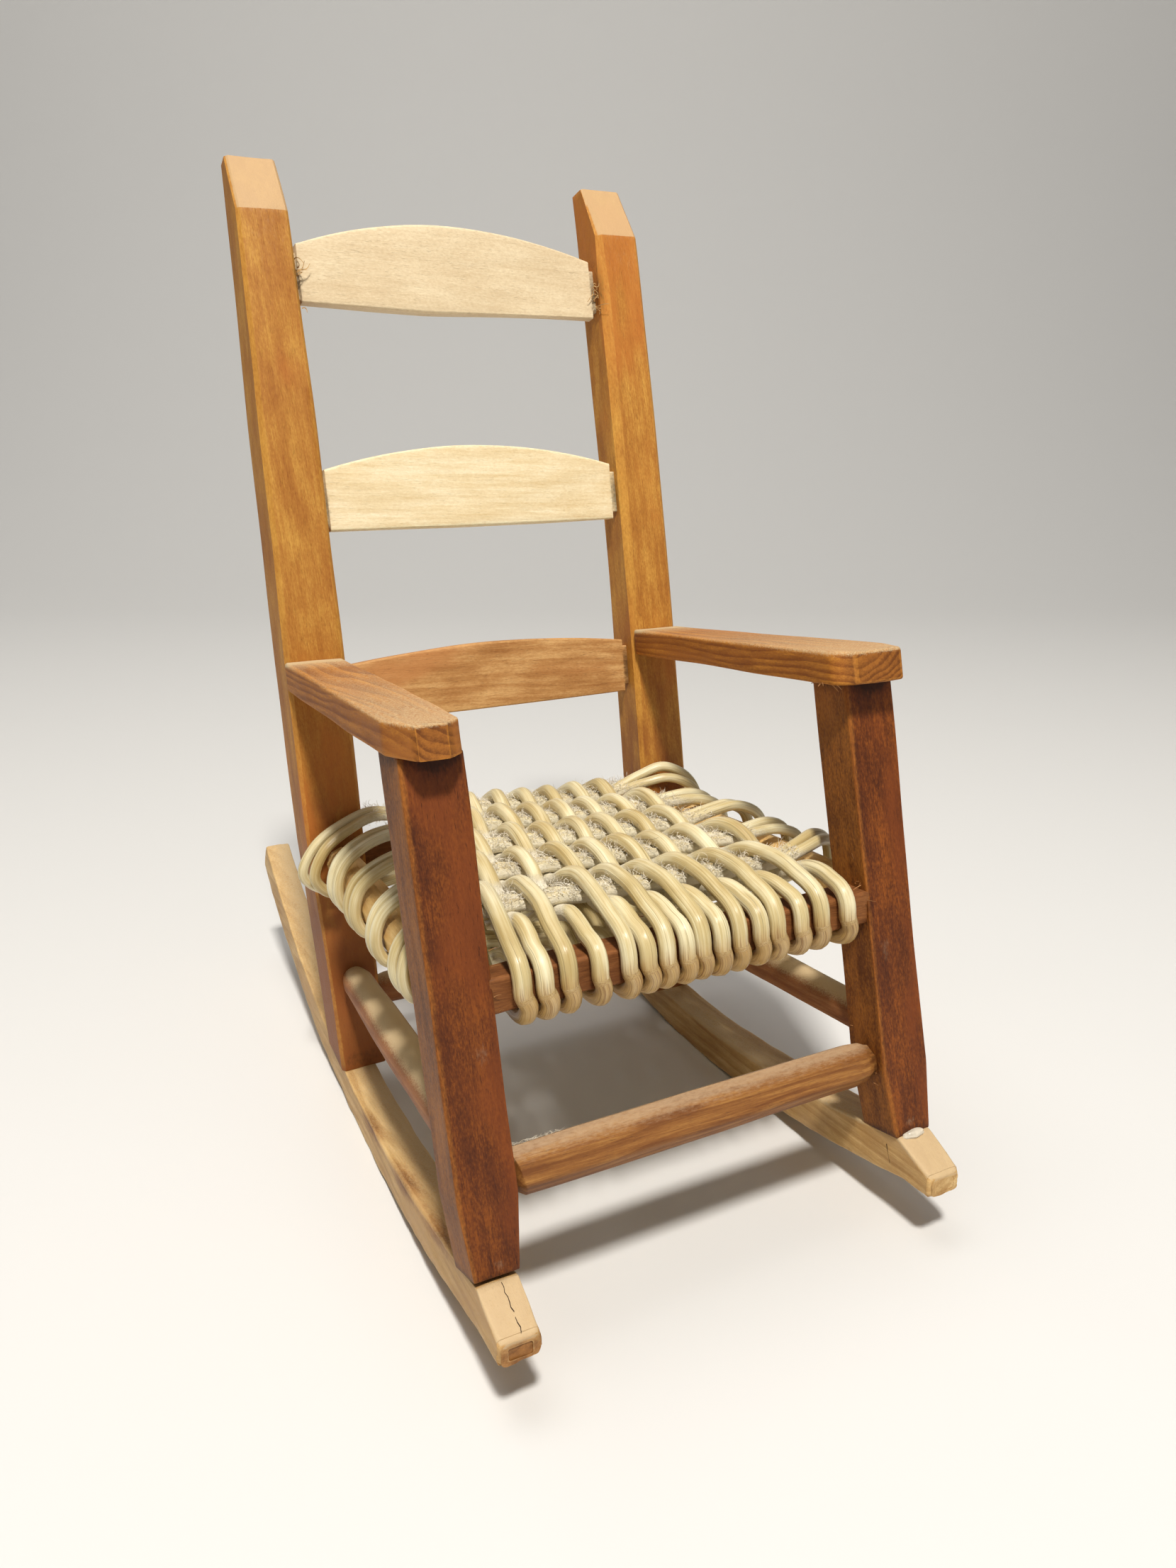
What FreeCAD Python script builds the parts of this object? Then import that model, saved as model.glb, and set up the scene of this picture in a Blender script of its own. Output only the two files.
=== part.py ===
"""Miniature ladder-back rocking chair with a woven reed seat.

The chair is drawn upright in its own construction frame, in millimetres: X to
the sitter's left as seen from the front, Y to the back, Z up along the front
posts, with Z = 0 at their feet and Y = 0 on their front faces.  At the end the
whole chair is turned back onto the point where it balances on its rockers, and
set down with its lowest point on the plane Z = 0.
"""
import FreeCAD
import Part
import math
import os

import Sketcher

Vector = FreeCAD.Vector
Placement = FreeCAD.Placement
Rotation = FreeCAD.Rotation

LEFT = -1
RIGHT = 1
SIDES = {"left": LEFT, "right": RIGHT}

doc = FreeCAD.newDocument("rocking_chair")
sheet = doc.addObject("Spreadsheet::Sheet", "Sizes")
parts = {}
in_chair = {}

DRIVING = {
    # Posts
    "front_width": 9.5,
    "front_depth": 8.6,
    "front_inner": 34.0,
    "front_rise_left": 76.3,
    "front_rise_right": 79.0,
    "foot_width": 6.8,
    "foot_taper": 12.0,
    "foot_trim": 1.2,
    "foot_spare": 2.0,
    "back_width": 11.0,
    "back_width_top": 9.4,
    "back_width_foot": 8.4,
    "back_taper_down": 60.0,
    "back_taper_up": 95.0,
    "back_depth": 9.4,
    "back_inner": 31.8,
    "back_face": 77.7,
    "back_slant": 5.0,
    "back_curve": 1340.0,
    "back_top": 187.3,
    "back_bevel": 176.0,
    "back_bevel_cut": 4.9,
    # Rockers
    "rocker_width": 6.8,
    "rocker_depth": 7.4,
    "rocker_front_curve": 330.0,
    "rocker_rear_curve": 158.0,
    "rocker_nose": 7.0,
    "rocker_nose_drop": 5.2,
    "rocker_nose_face": 3.9,
    "rocker_nose_rake": 0.9,
    "rocker_slope": 1.6,
    "rocker_join": 54.0,
    "rocker_sweep": 37.5,
    "rocker_toe_in": 1.2,
    "glue_line": 0.1,
    # Arms
    "arm_thick": 5.2,
    "arm_overhang": 4.9,
    "arm_rear_top": 94.2,
    "arm_rear_inner": 32.1,
    "arm_rear_width": 10.9,
    "arm_front_inner_left": 34.6,
    "arm_front_inner_right": 29.6,
    "arm_side_overhang": 1.3,
    "arm_corner": 2.6,
    "arm_corner_length": 7.0,
    # Slats
    "slat_thick": 2.5,
    "slat_tenon": 2.6,
    "slat_height": 11.2,
    "slat_top_inset": 2.9,
    "slat_top_arch": 98.0,
    "slat_middle_inset": 2.2,
    "slat_middle_arch": 112.0,
    "slat_lower_inset": 3.0,
    "slat_lower_arch": 225.0,
    "slat_top_level": 159.9,
    "slat_middle_level": 118.4,
    "slat_lower_level": 81.4,
    # Seat rails
    "seat_slope": 11.3,
    "seat_level": 41.2,
    "rail_square": 5.6,
    "rail_front_setback": 3.1,
    "rail_back_setback": 5.0,
    "side_rail_across": 6.4,
    "side_rail_front": 38.8,
    "side_rail_back": 36.4,
    "rail_tenon": 5.0,
    "side_tenon": 2.8,
    "tenon_across": 3.8,
    "tenon_fit": 0.04,
    # Stretchers
    "front_stretcher_across": 7.6,
    "front_stretcher_level": 13.2,
    "front_stretcher_setback": 4.3,
    "side_stretcher_across": 6.6,
    "side_stretcher_front": 18.6,
    "side_stretcher_back": 31.0,
    "back_stretcher_level": 26.5,
    "back_stretcher_across": 6.6,
    # Woven reed
    "warp_reed": 2.8,
    "weft_reed": 2.1,
    "reed_gap": 0.08,
    "reed_bend": 6.0,
    "warp_count": 16,
    "warp_front_span": 59.0,
    "warp_back_span": 55.0,
    "weft_count": 5,
    "weft_first": 15.3,
    "weft_last": 69.2,
    "weft_pair": 2.5,
}
aliases = []


def enter(alias, number):
    """Add one named number to the sheet."""
    aliases.append(alias)
    row = len(aliases)
    sheet.set(f"A{row}", alias)
    sheet.set(f"B{row}", str(number))
    sheet.setAlias(f"B{row}", alias)


for name_in_sheet, starting_value in DRIVING.items():
    enter(name_in_sheet, starting_value)
doc.recompute()


def size(alias):
    """The number in one cell of the sheet."""
    return float(sheet.get(alias))


def value(text):
    """The number that an expression in the sheet's names comes to."""
    found = sheet.evalExpression(text)
    return float(getattr(found, "Value", found))


def cells(text):
    """The expression with every size written as the sheet's own cell."""
    words = []
    word = ""
    for letter in text + " ":
        if letter.isalnum() or letter == "_":
            word += letter
            continue
        words.append(f"Sizes.{word}" if word in aliases else word)
        words.append(letter)
        word = ""
    return "".join(words).strip()


def bind(thing, prop, text):
    """Tie one property to an expression in the sheet's names."""
    thing.setExpression(prop, cells(text))


# --- Sketches, pads and cuts -------------------------------------------------


def origin_plane(body, role):
    """The body's own origin plane with this role."""
    return next(item for item in body.Origin.OriginFeatures if item.Role == role)


def outline(body, name, role, corners, offset="0"):
    """A closed sketch whose corners and radii are tied to the sheet.

    Each corner is (across, up, radius).  The radius, or None, belongs to the edge
    from that corner to the next; a positive one bows to the right of the way there.
    """
    sketch = body.newObject("Sketcher::SketchObject", name)
    sketch.AttachmentSupport = (origin_plane(body, role), [""])
    sketch.MapMode = "FlatFace"
    bind(sketch, "AttachmentOffset.Base.z", offset)
    spots = [Vector(value(cells(across)), value(cells(up)), 0) for across, up, _ in corners]
    count = len(corners)
    ends = []
    for index, (_, _, radius) in enumerate(corners):
        start = spots[index]
        end = spots[(index + 1) % count]
        if radius is None:
            sketch.addGeometry(Part.LineSegment(start, end))
            ends.append((1, 2))
            continue
        bow = value(cells(radius))
        chord = end - start
        right = Vector(chord.y, -chord.x, 0).normalize()
        rise = abs(bow) - math.sqrt(bow * bow - chord.Length ** 2 / 4)
        middle = (start + end) * 0.5 + right * math.copysign(rise, bow)
        sketch.addGeometry(Part.Arc(start, middle, end))
        ends.append((1, 2) if bow > 0 else (2, 1))
    for index in range(count):
        after = (index + 1) % count
        joined = Sketcher.Constraint("Coincident", index, ends[index][1], after, ends[after][0])
        sketch.addConstraint(joined)
    for index, (across, up, radius) in enumerate(corners):
        spot = spots[index]
        place = ends[index][0]
        for kind, level, text in (("DistanceX", spot.x, across), ("DistanceY", spot.y, up)):
            number = sketch.addConstraint(Sketcher.Constraint(kind, -1, 1, index, place, level))
            bind(sketch, f"Constraints[{number}]", text)
        if radius is not None:
            bow = abs(value(cells(radius)))
            number = sketch.addConstraint(Sketcher.Constraint("Radius", index, bow))
            bind(sketch, f"Constraints[{number}]", f"abs({radius})")
    sketch.Visibility = False
    return sketch


def new_body(name):
    """An empty body."""
    return doc.addObject("PartDesign::Body", f"{name}_body")


def pad(body, name, role, corners, length, offset="0"):
    """A solid pushed from an outline along the plane's normal."""
    feature = body.newObject("PartDesign::Pad", name)
    feature.Profile = outline(body, f"{name}_outline", role, corners, offset)
    bind(feature, "Length", length)
    return feature


def cut_away(body, name, role, corners, reach, offset):
    """A pocket of this outline, from the offset plane against the plane's normal."""
    doc.recompute()
    before = body.Shape.Volume
    feature = body.newObject("PartDesign::Pocket", name)
    feature.Profile = outline(body, f"{name}_outline", role, corners, offset)
    bind(feature, "Length", reach)
    doc.recompute()
    if body.Shape.Volume > before - 1e-6:
        raise RuntimeError(f"{name} cuts nothing")
    return feature


# --- Rods, tenons and mortises -----------------------------------------------


def along(start, end):
    """A placement whose Z axis runs from start to end."""
    return Placement(start, Rotation(Vector(0, 0, 1), end - start))


def rod(name, start, end, across):
    """A round rod between two points."""
    stick = doc.addObject("Part::Cylinder", name)
    bind(stick, "Radius", f"({across}) / 2")
    stick.Height = (end - start).Length
    stick.Placement = along(start, end)
    return stick


def facetted_rod(name, start, end, across, sides):
    """A rod whittled to flat facets, this far across its flats."""
    stick = doc.addObject("Part::Prism", name)
    stick.Polygon = sides
    bind(stick, "Circumradius", f"({across}) / 2 / cos(180 / {sides})")
    stick.Height = (end - start).Length
    stick.Placement = along(start, end)
    stick.Placement.Rotation = stick.Placement.Rotation.multiply(
        Rotation(Vector(0, 0, 1), 180 / sides))
    return stick


def square_rod(name, start, end, across):
    """A square stick between two points that lie along X, tipped like the seat."""
    stick = doc.addObject("Part::Box", name)
    stick.Length = (end - start).Length
    bind(stick, "Width", across)
    bind(stick, "Height", across)
    tip = Rotation(Vector(1, 0, 0), size("seat_slope"))
    half = value(cells(across)) / 2
    stick.Placement = Placement(start + tip.multVec(Vector(0, -half, -half)), tip)
    return stick


def fused(name, pieces):
    """One solid from several."""
    whole = doc.addObject("Part::MultiFuse", name)
    whole.Shapes = pieces
    whole.Refine = True
    return whole


def with_tenons(name, middle, start, end, reach):
    """A rail or stretcher with a round tenon on each end, and the two tenons' lines."""
    way = (end - start).normalize()
    lines = [(start, start - way * reach), (end, end + way * reach)]
    tenons = [
        rod(f"{name}_tenon_{number}", near, far, "tenon_across")
        for number, (near, far) in enumerate(lines)
    ]
    whole = fused(name, [middle, *tenons])
    return whole, lines


def mortise(name, line):
    """A round cutter for one tenon, a glue film wider and a little longer."""
    near, far = line
    way = (far - near).normalize()
    film = size("tenon_fit")
    return rod(name, near - way, far + way * film, "tenon_across + 2 * tenon_fit")


def mortised(name, base, cutters):
    """A post with its mortises cut."""
    result = doc.addObject("Part::Cut", f"{name}_cut")
    result.Base = base
    result.Tool = fused(f"{name}_mortises", cutters)
    return result


def keep(name, thing, local=Placement()):
    """Enter a finished sub-part, with its place in the upright chair."""
    thing.Label = name
    parts[name] = thing
    in_chair[name] = local


# --- Places that several sub-parts share -------------------------------------

seat_tip = math.radians(size("seat_slope"))


def back_line(level):
    """Y of the back posts' bowed front faces at this height, as an expression."""
    chord = f"back_face - ({level}) * tan(back_slant)"
    bow = f"({level}) * (back_bevel - ({level})) / (2 * back_curve * cos(back_slant) ^ 3)"
    return f"({chord} - {bow})"


def back_front(level):
    """The same place as a number."""
    return value(cells(back_line(level)))


def back_lean(level):
    """The forward slant of those faces at this height, in degrees."""
    step = 1.0
    return math.degrees(math.atan2(back_front(level) - back_front(level + step), step))


def seat_plane(depth):
    """Height of the seat rails' axes at this Y."""
    return size("seat_level") + (depth - size("rail_front_setback")) * math.tan(seat_tip)


def arc_step(start, slope, radius, turn):
    """The point and slope reached along an arc that curves upward."""
    ahead = slope + turn
    across = start[0] + radius * (math.sin(ahead) - math.sin(slope))
    up = start[1] + radius * (math.cos(slope) - math.cos(ahead))
    return (across, up), ahead


# --- Rockers -----------------------------------------------------------------
# The sole is two arcs that meet tangentially; the top runs parallel to it.  Both
# pass through the front foot at the origin, where the top is at Z = 0.

sole_slope = math.radians(size("rocker_slope"))
front_turn = math.asin(
    size("rocker_join") / size("rocker_front_curve") + math.sin(sole_slope)) - sole_slope
rear_turn = math.radians(size("rocker_sweep"))
sole_start = (0.0, -size("rocker_depth"))
sole_join, join_slope = arc_step(sole_start, sole_slope, size("rocker_front_curve"), front_turn)
sole_end, end_slope = arc_step(sole_join, join_slope, size("rocker_rear_curve"), rear_turn)
rear_centre = (
    sole_join[0] - size("rocker_rear_curve") * math.sin(join_slope),
    sole_join[1] + size("rocker_rear_curve") * math.cos(join_slope),
)


def above_sole(point, slope):
    """The point on the rocker's top that faces this point of the sole."""
    lift = size("rocker_depth")
    return (point[0] - lift * math.sin(slope), point[1] + lift * math.cos(slope))


top_start = above_sole(sole_start, sole_slope)
top_join = above_sole(sole_join, join_slope)
top_end = above_sole(sole_end, end_slope)
for alias, point in (
    ("sole_start", sole_start),
    ("sole_join", sole_join),
    ("sole_end", sole_end),
    ("top_start", top_start),
    ("top_join", top_join),
    ("top_end", top_end),
):
    enter(f"{alias}_y", round(point[0], 6))
    enter(f"{alias}_z", round(point[1], 6))
doc.recompute()


def make_rocker(name, side):
    """One rocker: a curved runner with a bevelled nose and a square tail."""
    body = new_body(name)
    pad(body, f"{name}_runner", "YZ_Plane", [
        ("rocker_nose_rake - rocker_nose", "-rocker_nose_drop - rocker_nose_face", None),
        ("sole_start_y", "sole_start_z", "rocker_front_curve"),
        ("sole_join_y", "sole_join_z", "rocker_rear_curve"),
        ("sole_end_y", "sole_end_z", None),
        ("top_end_y", "top_end_z", "rocker_depth - rocker_rear_curve"),
        ("top_join_y", "top_join_z", "rocker_depth - rocker_front_curve"),
        ("top_start_y", "top_start_z", None),
        ("-rocker_nose", "-rocker_nose_drop", None),
    ], "rocker_width", "-rocker_width / 2")
    middle = size("front_inner") + size("front_width") - size("foot_trim") - size("foot_width") / 2
    toe = Rotation(Vector(0, 0, 1), side * size("rocker_toe_in"))
    keep(name, body, Placement(Vector(side * middle, 0, 0), toe))


# --- Seat rails and stretchers -----------------------------------------------

post_tenons = {"front_post": [], "back_post": []}


def crossways(name, depth, level, inner, middle_maker, reach):
    """A rail or stretcher that runs from one side's post to the other's."""
    start = Vector(-inner, depth, level)
    end = Vector(inner, depth, level)
    middle = middle_maker(f"{name}_middle", start, end)
    whole, lines = with_tenons(name, middle, start, end, reach)
    keep(name, whole)
    return lines


def fore_and_aft(name, side, front, back, middle_maker, reach):
    """A rail or stretcher that runs from a front post to the back post behind it."""
    start = Vector(side * front[0], front[1], front[2])
    end = Vector(side * back[0], back[1], back[2])
    middle = middle_maker(f"{name}_middle", start, end)
    whole, lines = with_tenons(name, middle, start, end, reach)
    keep(name, whole)
    return lines


front_depth = size("front_depth")
front_level = seat_plane(size("rail_front_setback"))
back_rail_depth = back_front(seat_plane(back_front(front_level))) + size("rail_back_setback")
back_level = seat_plane(back_rail_depth)

cross_lines = {
    "front_post": [
        crossways(
            "front_rail", size("rail_front_setback"), front_level, size("front_inner"),
            lambda name, start, end: square_rod(name, start, end, "rail_square"),
            size("rail_tenon")),
        crossways(
            "front_stretcher", size("front_stretcher_setback"), size("front_stretcher_level"),
            size("front_inner"),
            lambda name, start, end: facetted_rod(
                name, start, end, "front_stretcher_across", 8),
            size("rail_tenon")),
    ],
    "back_post": [
        crossways(
            "back_rail", back_rail_depth, back_level, size("back_inner"),
            lambda name, start, end: square_rod(name, start, end, "rail_square"),
            size("rail_tenon")),
        crossways(
            "back_stretcher",
            back_front(size("back_stretcher_level")) + size("rail_back_setback"),
            size("back_stretcher_level"), size("back_inner"),
            lambda name, start, end: rod(name, start, end, "back_stretcher_across"),
            size("rail_tenon")),
    ],
}

side_lines = {}
for hand, side in SIDES.items():
    rail_back_y = back_front(seat_plane(back_front(front_level)))
    rail_lines = fore_and_aft(
        f"side_rail_{hand}", side,
        (size("side_rail_front"), front_depth, seat_plane(front_depth)),
        (size("side_rail_back"), rail_back_y, seat_plane(rail_back_y)),
        lambda name, start, end: facetted_rod(name, start, end, "side_rail_across", 10),
        size("side_tenon"))
    stretcher_back_y = back_front(size("side_stretcher_back"))
    stretcher_lines = fore_and_aft(
        f"side_stretcher_{hand}", side,
        (size("side_rail_front"), front_depth, size("side_stretcher_front")),
        (size("side_rail_back"), stretcher_back_y, size("side_stretcher_back")),
        lambda name, start, end: rod(name, start, end, "side_stretcher_across"),
        size("side_tenon"))
    side_lines[hand] = {"rail": rail_lines, "stretcher": stretcher_lines}


# --- Slats -------------------------------------------------------------------


def slat_place(level, inset):
    """Where a slat's own frame sits: behind the posts' faces, at its lower edge."""
    slant = Rotation(Vector(1, 0, 0), back_lean(level))
    return Placement(Vector(0, back_front(level) + inset, level), slant)


def make_slat(kind, tenons):
    """A flat slat with an arched top, its ends let into the back posts."""
    name = f"{kind}_slat"
    body = new_body(name)
    reach = "(back_inner + slat_tenon)"
    shoulder = "slat_height"
    pad(body, f"{name}_board", "XZ_Plane", [
        (f"-{reach}", "0", None),
        (reach, "0", None),
        (reach, shoulder, None),
        ("back_inner", shoulder, f"slat_{kind}_arch"),
        ("-back_inner", shoulder, None),
        (f"-{reach}", shoulder, None),
    ], "slat_thick", "-slat_thick")
    place = slat_place(size(f"slat_{kind}_level"), size(f"slat_{kind}_inset"))
    keep(name, body, place)
    for hand, side in SIDES.items():
        slot = doc.addObject("Part::Box", f"{name}_slot_{hand}")
        bind(slot, "Length", "slat_tenon + 1 + tenon_fit")
        bind(slot, "Width", "slat_thick + 2 * tenon_fit")
        bind(slot, "Height", "slat_height + 2 * tenon_fit")
        film = size("tenon_fit")
        start = size("back_inner") - 1
        if side == LEFT:
            start = -size("back_inner") - size("slat_tenon") - film
        slot.Placement = place.multiply(Placement(Vector(start, -film, -film), Rotation()))
        tenons[hand].append(slot)


slat_slots = {"left": [], "right": []}
for slat_kind in ("top", "middle", "lower"):
    make_slat(slat_kind, slat_slots)


# --- Arms --------------------------------------------------------------------


def arm_slope(hand):
    """Rise of an arm for each millimetre towards the back."""
    front = size(f"front_rise_{hand}") + size("arm_thick")
    return (size("arm_rear_top") - front) / back_front(size("arm_rear_top"))


for hand in SIDES:
    enter(f"arm_slope_{hand}", round(arm_slope(hand), 6))
doc.recompute()


def make_arm(name, hand, side):
    """A flat arm: bevelled at the nose, butted on the back post, on the front post."""
    body = new_body(name)
    rise = f"front_rise_{hand}"
    lean = f"arm_slope_{hand}"
    outer = "(front_inner + front_width + arm_side_overhang)"
    inner = f"arm_front_inner_{hand}"
    rear_inner = "arm_rear_inner"
    rear_outer = "(arm_rear_inner + arm_rear_width)"
    rear_bottom = f"({rise} + {back_line('arm_rear_top - arm_thick')} * {lean})"
    widest = f"min({inner}; {rear_inner})"
    offset = widest if side == RIGHT else f"-{outer}"
    pad(body, f"{name}_board", "YZ_Plane", [
        ("-arm_overhang", f"{rise} - arm_overhang * {lean}", None),
        (back_line(rear_bottom), rear_bottom, None),
        (back_line("arm_rear_top"), "arm_rear_top", None),
        ("-arm_overhang", f"{rise} + arm_thick - arm_overhang * {lean}", None),
    ], f"{outer} - {widest}", offset)
    sign = "" if side == RIGHT else "-"
    reach = "3 * arm_thick + arm_rear_top - front_rise_left"
    above = "arm_rear_top + arm_thick"
    far = f"{back_line('arm_rear_top')} + arm_thick"
    slack = "2 * arm_corner"

    def across(text):
        return f"{sign}({text})"

    cut_away(body, f"{name}_outer_taper", "XY_Plane", [
        (across(outer), "0", None),
        (across(rear_outer), far, None),
        (across(f"{outer} + {slack}"), far, None),
    ], reach, above)
    inner_edge = [
        (across(inner), "-arm_overhang - arm_corner", None),
        (across(f"{widest} - {slack}"), "-arm_overhang - arm_corner", None),
        (across(f"{widest} - {slack}"), far, None),
        (across(rear_inner), far, None),
    ]
    cut_away(body, f"{name}_inner_taper", "XY_Plane", inner_edge, reach, above)
    corners = (
        ("outer", outer, "-", "+", "arm_corner_length"),
        ("inner", inner, "+", "-", "arm_corner"),
    )
    for corner, edge, inward, outward, length in corners:
        cut_away(body, f"{name}_{corner}_corner", "XY_Plane", [
            (across(f"{edge} {inward} arm_corner"), "-arm_overhang", None),
            (across(edge), f"-arm_overhang + {length}", None),
            (across(f"{edge} {outward} arm_corner"), f"-arm_overhang + {length}", None),
            (across(f"{edge} {outward} arm_corner"), "-arm_overhang - arm_corner", None),
            (across(f"{edge} {inward} arm_corner"), "-arm_overhang - arm_corner", None),
        ], reach, above)
    keep(name, body)


# --- Posts -------------------------------------------------------------------


def foot_cut(body, name, offset, reach):
    """Trim a foot to the curve of the rocker's top, a glue line clear of it."""
    cut_away(body, name, "YZ_Plane", [
        ("-front_depth", "-front_depth", None),
        ("sole_end_y", "-front_depth", None),
        ("top_end_y", "top_end_z + glue_line", "rocker_depth - rocker_rear_curve"),
        ("top_join_y", "top_join_z + glue_line", "rocker_depth - rocker_front_curve"),
        ("top_start_y", "top_start_z + glue_line", None),
        ("-front_depth", "top_start_z + glue_line", None),
    ], reach, offset)


def make_front_post(name, hand, side):
    """A square front post that narrows to a foot as wide as the rocker."""
    body = new_body(name)
    rise = f"front_rise_{hand}"
    lean = f"arm_slope_{hand}"
    outer = "(front_inner + front_width)"
    offset = "front_inner" if side == RIGHT else f"-{outer}"
    pad(body, f"{name}_stick", "YZ_Plane", [
        ("0", "-foot_spare", None),
        ("front_depth", "-foot_spare", None),
        ("front_depth", f"{rise} + front_depth * {lean}", None),
        ("0", rise, None),
    ], "front_width", offset)
    foot_cut(body, f"{name}_scribe", f"{offset} + front_width", "front_width")
    sign = "" if side == RIGHT else "-"

    def across(text):
        return f"{sign}({text})"

    trims = (
        ("inner", "front_inner", f"{outer} - foot_trim - foot_width", "-"),
        ("outer", outer, f"{outer} - foot_trim", "+"),
    )
    for kind, face, foot, outward in trims:
        beyond = f"{face} {outward} foot_spare"
        cut_away(body, f"{name}_{kind}_foot", "XZ_Plane", [
            (across(foot), "-foot_spare", None),
            (across(face), "foot_taper", None),
            (across(beyond), "foot_taper", None),
            (across(beyond), "-foot_spare", None),
        ], "front_depth + 2 * foot_spare", "foot_spare")
    cutters = [mortise(f"{name}_hole_{kind}", pair[0])
               for kind, pair in side_lines[hand].items()]
    for number, pair in enumerate(cross_lines["front_post"]):
        cutters.append(mortise(f"{name}_cross_{number}", pair[0 if side == LEFT else 1]))
    keep(name, mortised(name, body, cutters))


def make_back_post(name, hand, side):
    """A bowed back post, bevelled on top, that narrows to both of its ends."""
    body = new_body(name)
    outer = "(back_inner + back_width)"
    offset = "back_inner" if side == RIGHT else f"-{outer}"
    foot = back_line("0")
    bevel = back_line("back_bevel")
    crown = back_line("back_top")
    rear = "back_depth / cos(back_slant)"
    pad(body, f"{name}_stick", "YZ_Plane", [
        (foot, "0", None),
        (f"{foot} + {rear}", "0", "-back_curve"),
        (f"{bevel} + {rear}", "back_bevel", None),
        (f"{crown} + {rear}", "back_top", None),
        (f"{crown} + back_bevel_cut", "back_top", None),
        (bevel, "back_bevel", "back_curve"),
    ], "back_width", offset)
    foot_cut(body, f"{name}_scribe", f"{offset} + back_width", "back_width")
    sign = "" if side == RIGHT else "-"
    tapers = (
        ("upper", "back_taper_up", "back_top + 1", "back_width_top"),
        ("lower", "back_taper_down", "0", "back_width_foot"),
    )
    for kind, begin, finish, width in tapers:
        cut_away(body, f"{name}_{kind}_taper", "XZ_Plane", [
            (f"{sign}{outer}", begin, None),
            (f"{sign}({outer} + 1)", begin, None),
            (f"{sign}({outer} + 1)", finish, None),
            (f"{sign}(back_inner + {width})", finish, None),
        ], "2 * back_face", "0")
    cutters = [mortise(f"{name}_hole_{kind}", pair[1])
               for kind, pair in side_lines[hand].items()]
    for number, pair in enumerate(cross_lines["back_post"]):
        cutters.append(mortise(f"{name}_cross_{number}", pair[0 if side == LEFT else 1]))
    cutters.extend(slat_slots[hand])
    keep(name, mortised(name, body, cutters))


for hand, side in SIDES.items():
    make_back_post(f"back_post_{hand}", hand, side)
    make_front_post(f"front_post_{hand}", hand, side)
    make_arm(f"arm_{hand}", hand, side)
    make_rocker(f"rocker_{hand}", side)


# --- Woven reed --------------------------------------------------------------
# The warp reeds go round the front and back rails; the thinner weft reeds, laid in
# pairs, go round the side rails.  Both lie in a seat frame: S along the seat from
# the front rail's axis, N square to it.

warp_reed = size("warp_reed")
weft_reed = size("weft_reed")
gap = size("reed_gap")
seat_origin = Vector(0, size("rail_front_setback"), front_level)
seat_length = (back_rail_depth - size("rail_front_setback")) / math.cos(seat_tip)
along_seat = Vector(0, math.cos(seat_tip), math.sin(seat_tip))
off_seat = Vector(0, -math.sin(seat_tip), math.cos(seat_tip))
weft_lift = size("side_rail_across") / 2 + weft_reed / 2 + gap
crossing = (warp_reed + weft_reed) / 2 + gap
warp_over = weft_lift + crossing
warp_under = weft_lift - crossing
warp_turn = size("rail_square") / 2 + warp_reed / 2 + gap


LARGEST_SHARE = 0.45  # of a straight run that one bend may take up


def spread(count, first, last):
    """Evenly spaced numbers from first to last."""
    return [first + (last - first) * index / (count - 1) for index in range(count)]


def rounded_loop(corners, largest):
    """A closed wire of straight runs joined by tangent arcs, from its corners."""
    count = len(corners)
    bends = []
    for index, corner in enumerate(corners):
        back = corners[index - 1] - corner
        ahead = corners[(index + 1) % count] - corner
        turn = math.pi - back.getAngle(ahead)
        room = LARGEST_SHARE * min(back.Length, ahead.Length)
        setback = min(room, largest * math.tan(turn / 2))
        radius = setback / math.tan(turn / 2)
        back.normalize()
        ahead.normalize()
        inward = (back + ahead).normalize()
        deep = radius / math.cos(turn / 2) - radius
        bends.append((corner + back * setback, corner + inward * deep, corner + ahead * setback))
    edges = []
    for index, (enter, middle, leave) in enumerate(bends):
        edges.append(Part.Arc(enter, middle, leave).toShape())
        edges.append(Part.LineSegment(leave, bends[(index + 1) % count][0]).toShape())
    half = edges.pop()
    start, end = half.Vertexes[0].Point, half.Vertexes[1].Point
    centre = (start + end) * 0.5
    edges.insert(0, Part.LineSegment(centre, end).toShape())
    edges.append(Part.LineSegment(start, centre).toShape())
    return Part.Wire(edges), centre, end - start


def warp_reed_loop(corners):
    """A warp reed bent round a closed path."""
    path, start, way = rounded_loop(corners, size("reed_bend"))
    ring = Part.Wire(Part.Circle(start, way, warp_reed / 2).toShape())
    return path.makePipeShell([ring], True, True)


def warp_profile(over_first):
    """Corners of a warp reed's side view, as (S, N), top run and then underside."""
    flat = (size("weft_pair") + warp_reed) / 2
    rest = size("rail_square") / 2
    top = [(-warp_turn, warp_turn), (rest, warp_turn)]
    for number, depth in enumerate(weft_depths):
        level = warp_over if (number % 2 == 0) == over_first else warp_under
        top.append((depth - flat, level))
        top.append((depth + flat, level))
    top.extend([(seat_length - rest, warp_turn), (seat_length + warp_turn, warp_turn)])
    underside = [(along_s, -off_n) for along_s, off_n in reversed(top)]
    return top + underside


def warp_loop(front_x, back_x, over_first):
    """One warp reed, from its place on the front rail to its place on the back rail."""
    spots = []
    for along_s, off_n in warp_profile(over_first):
        across = front_x + (back_x - front_x) * along_s / seat_length
        place = seat_origin + along_seat * along_s + off_seat * off_n
        spots.append(Vector(across, place.y, place.z))
    return warp_reed_loop(spots)


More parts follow.
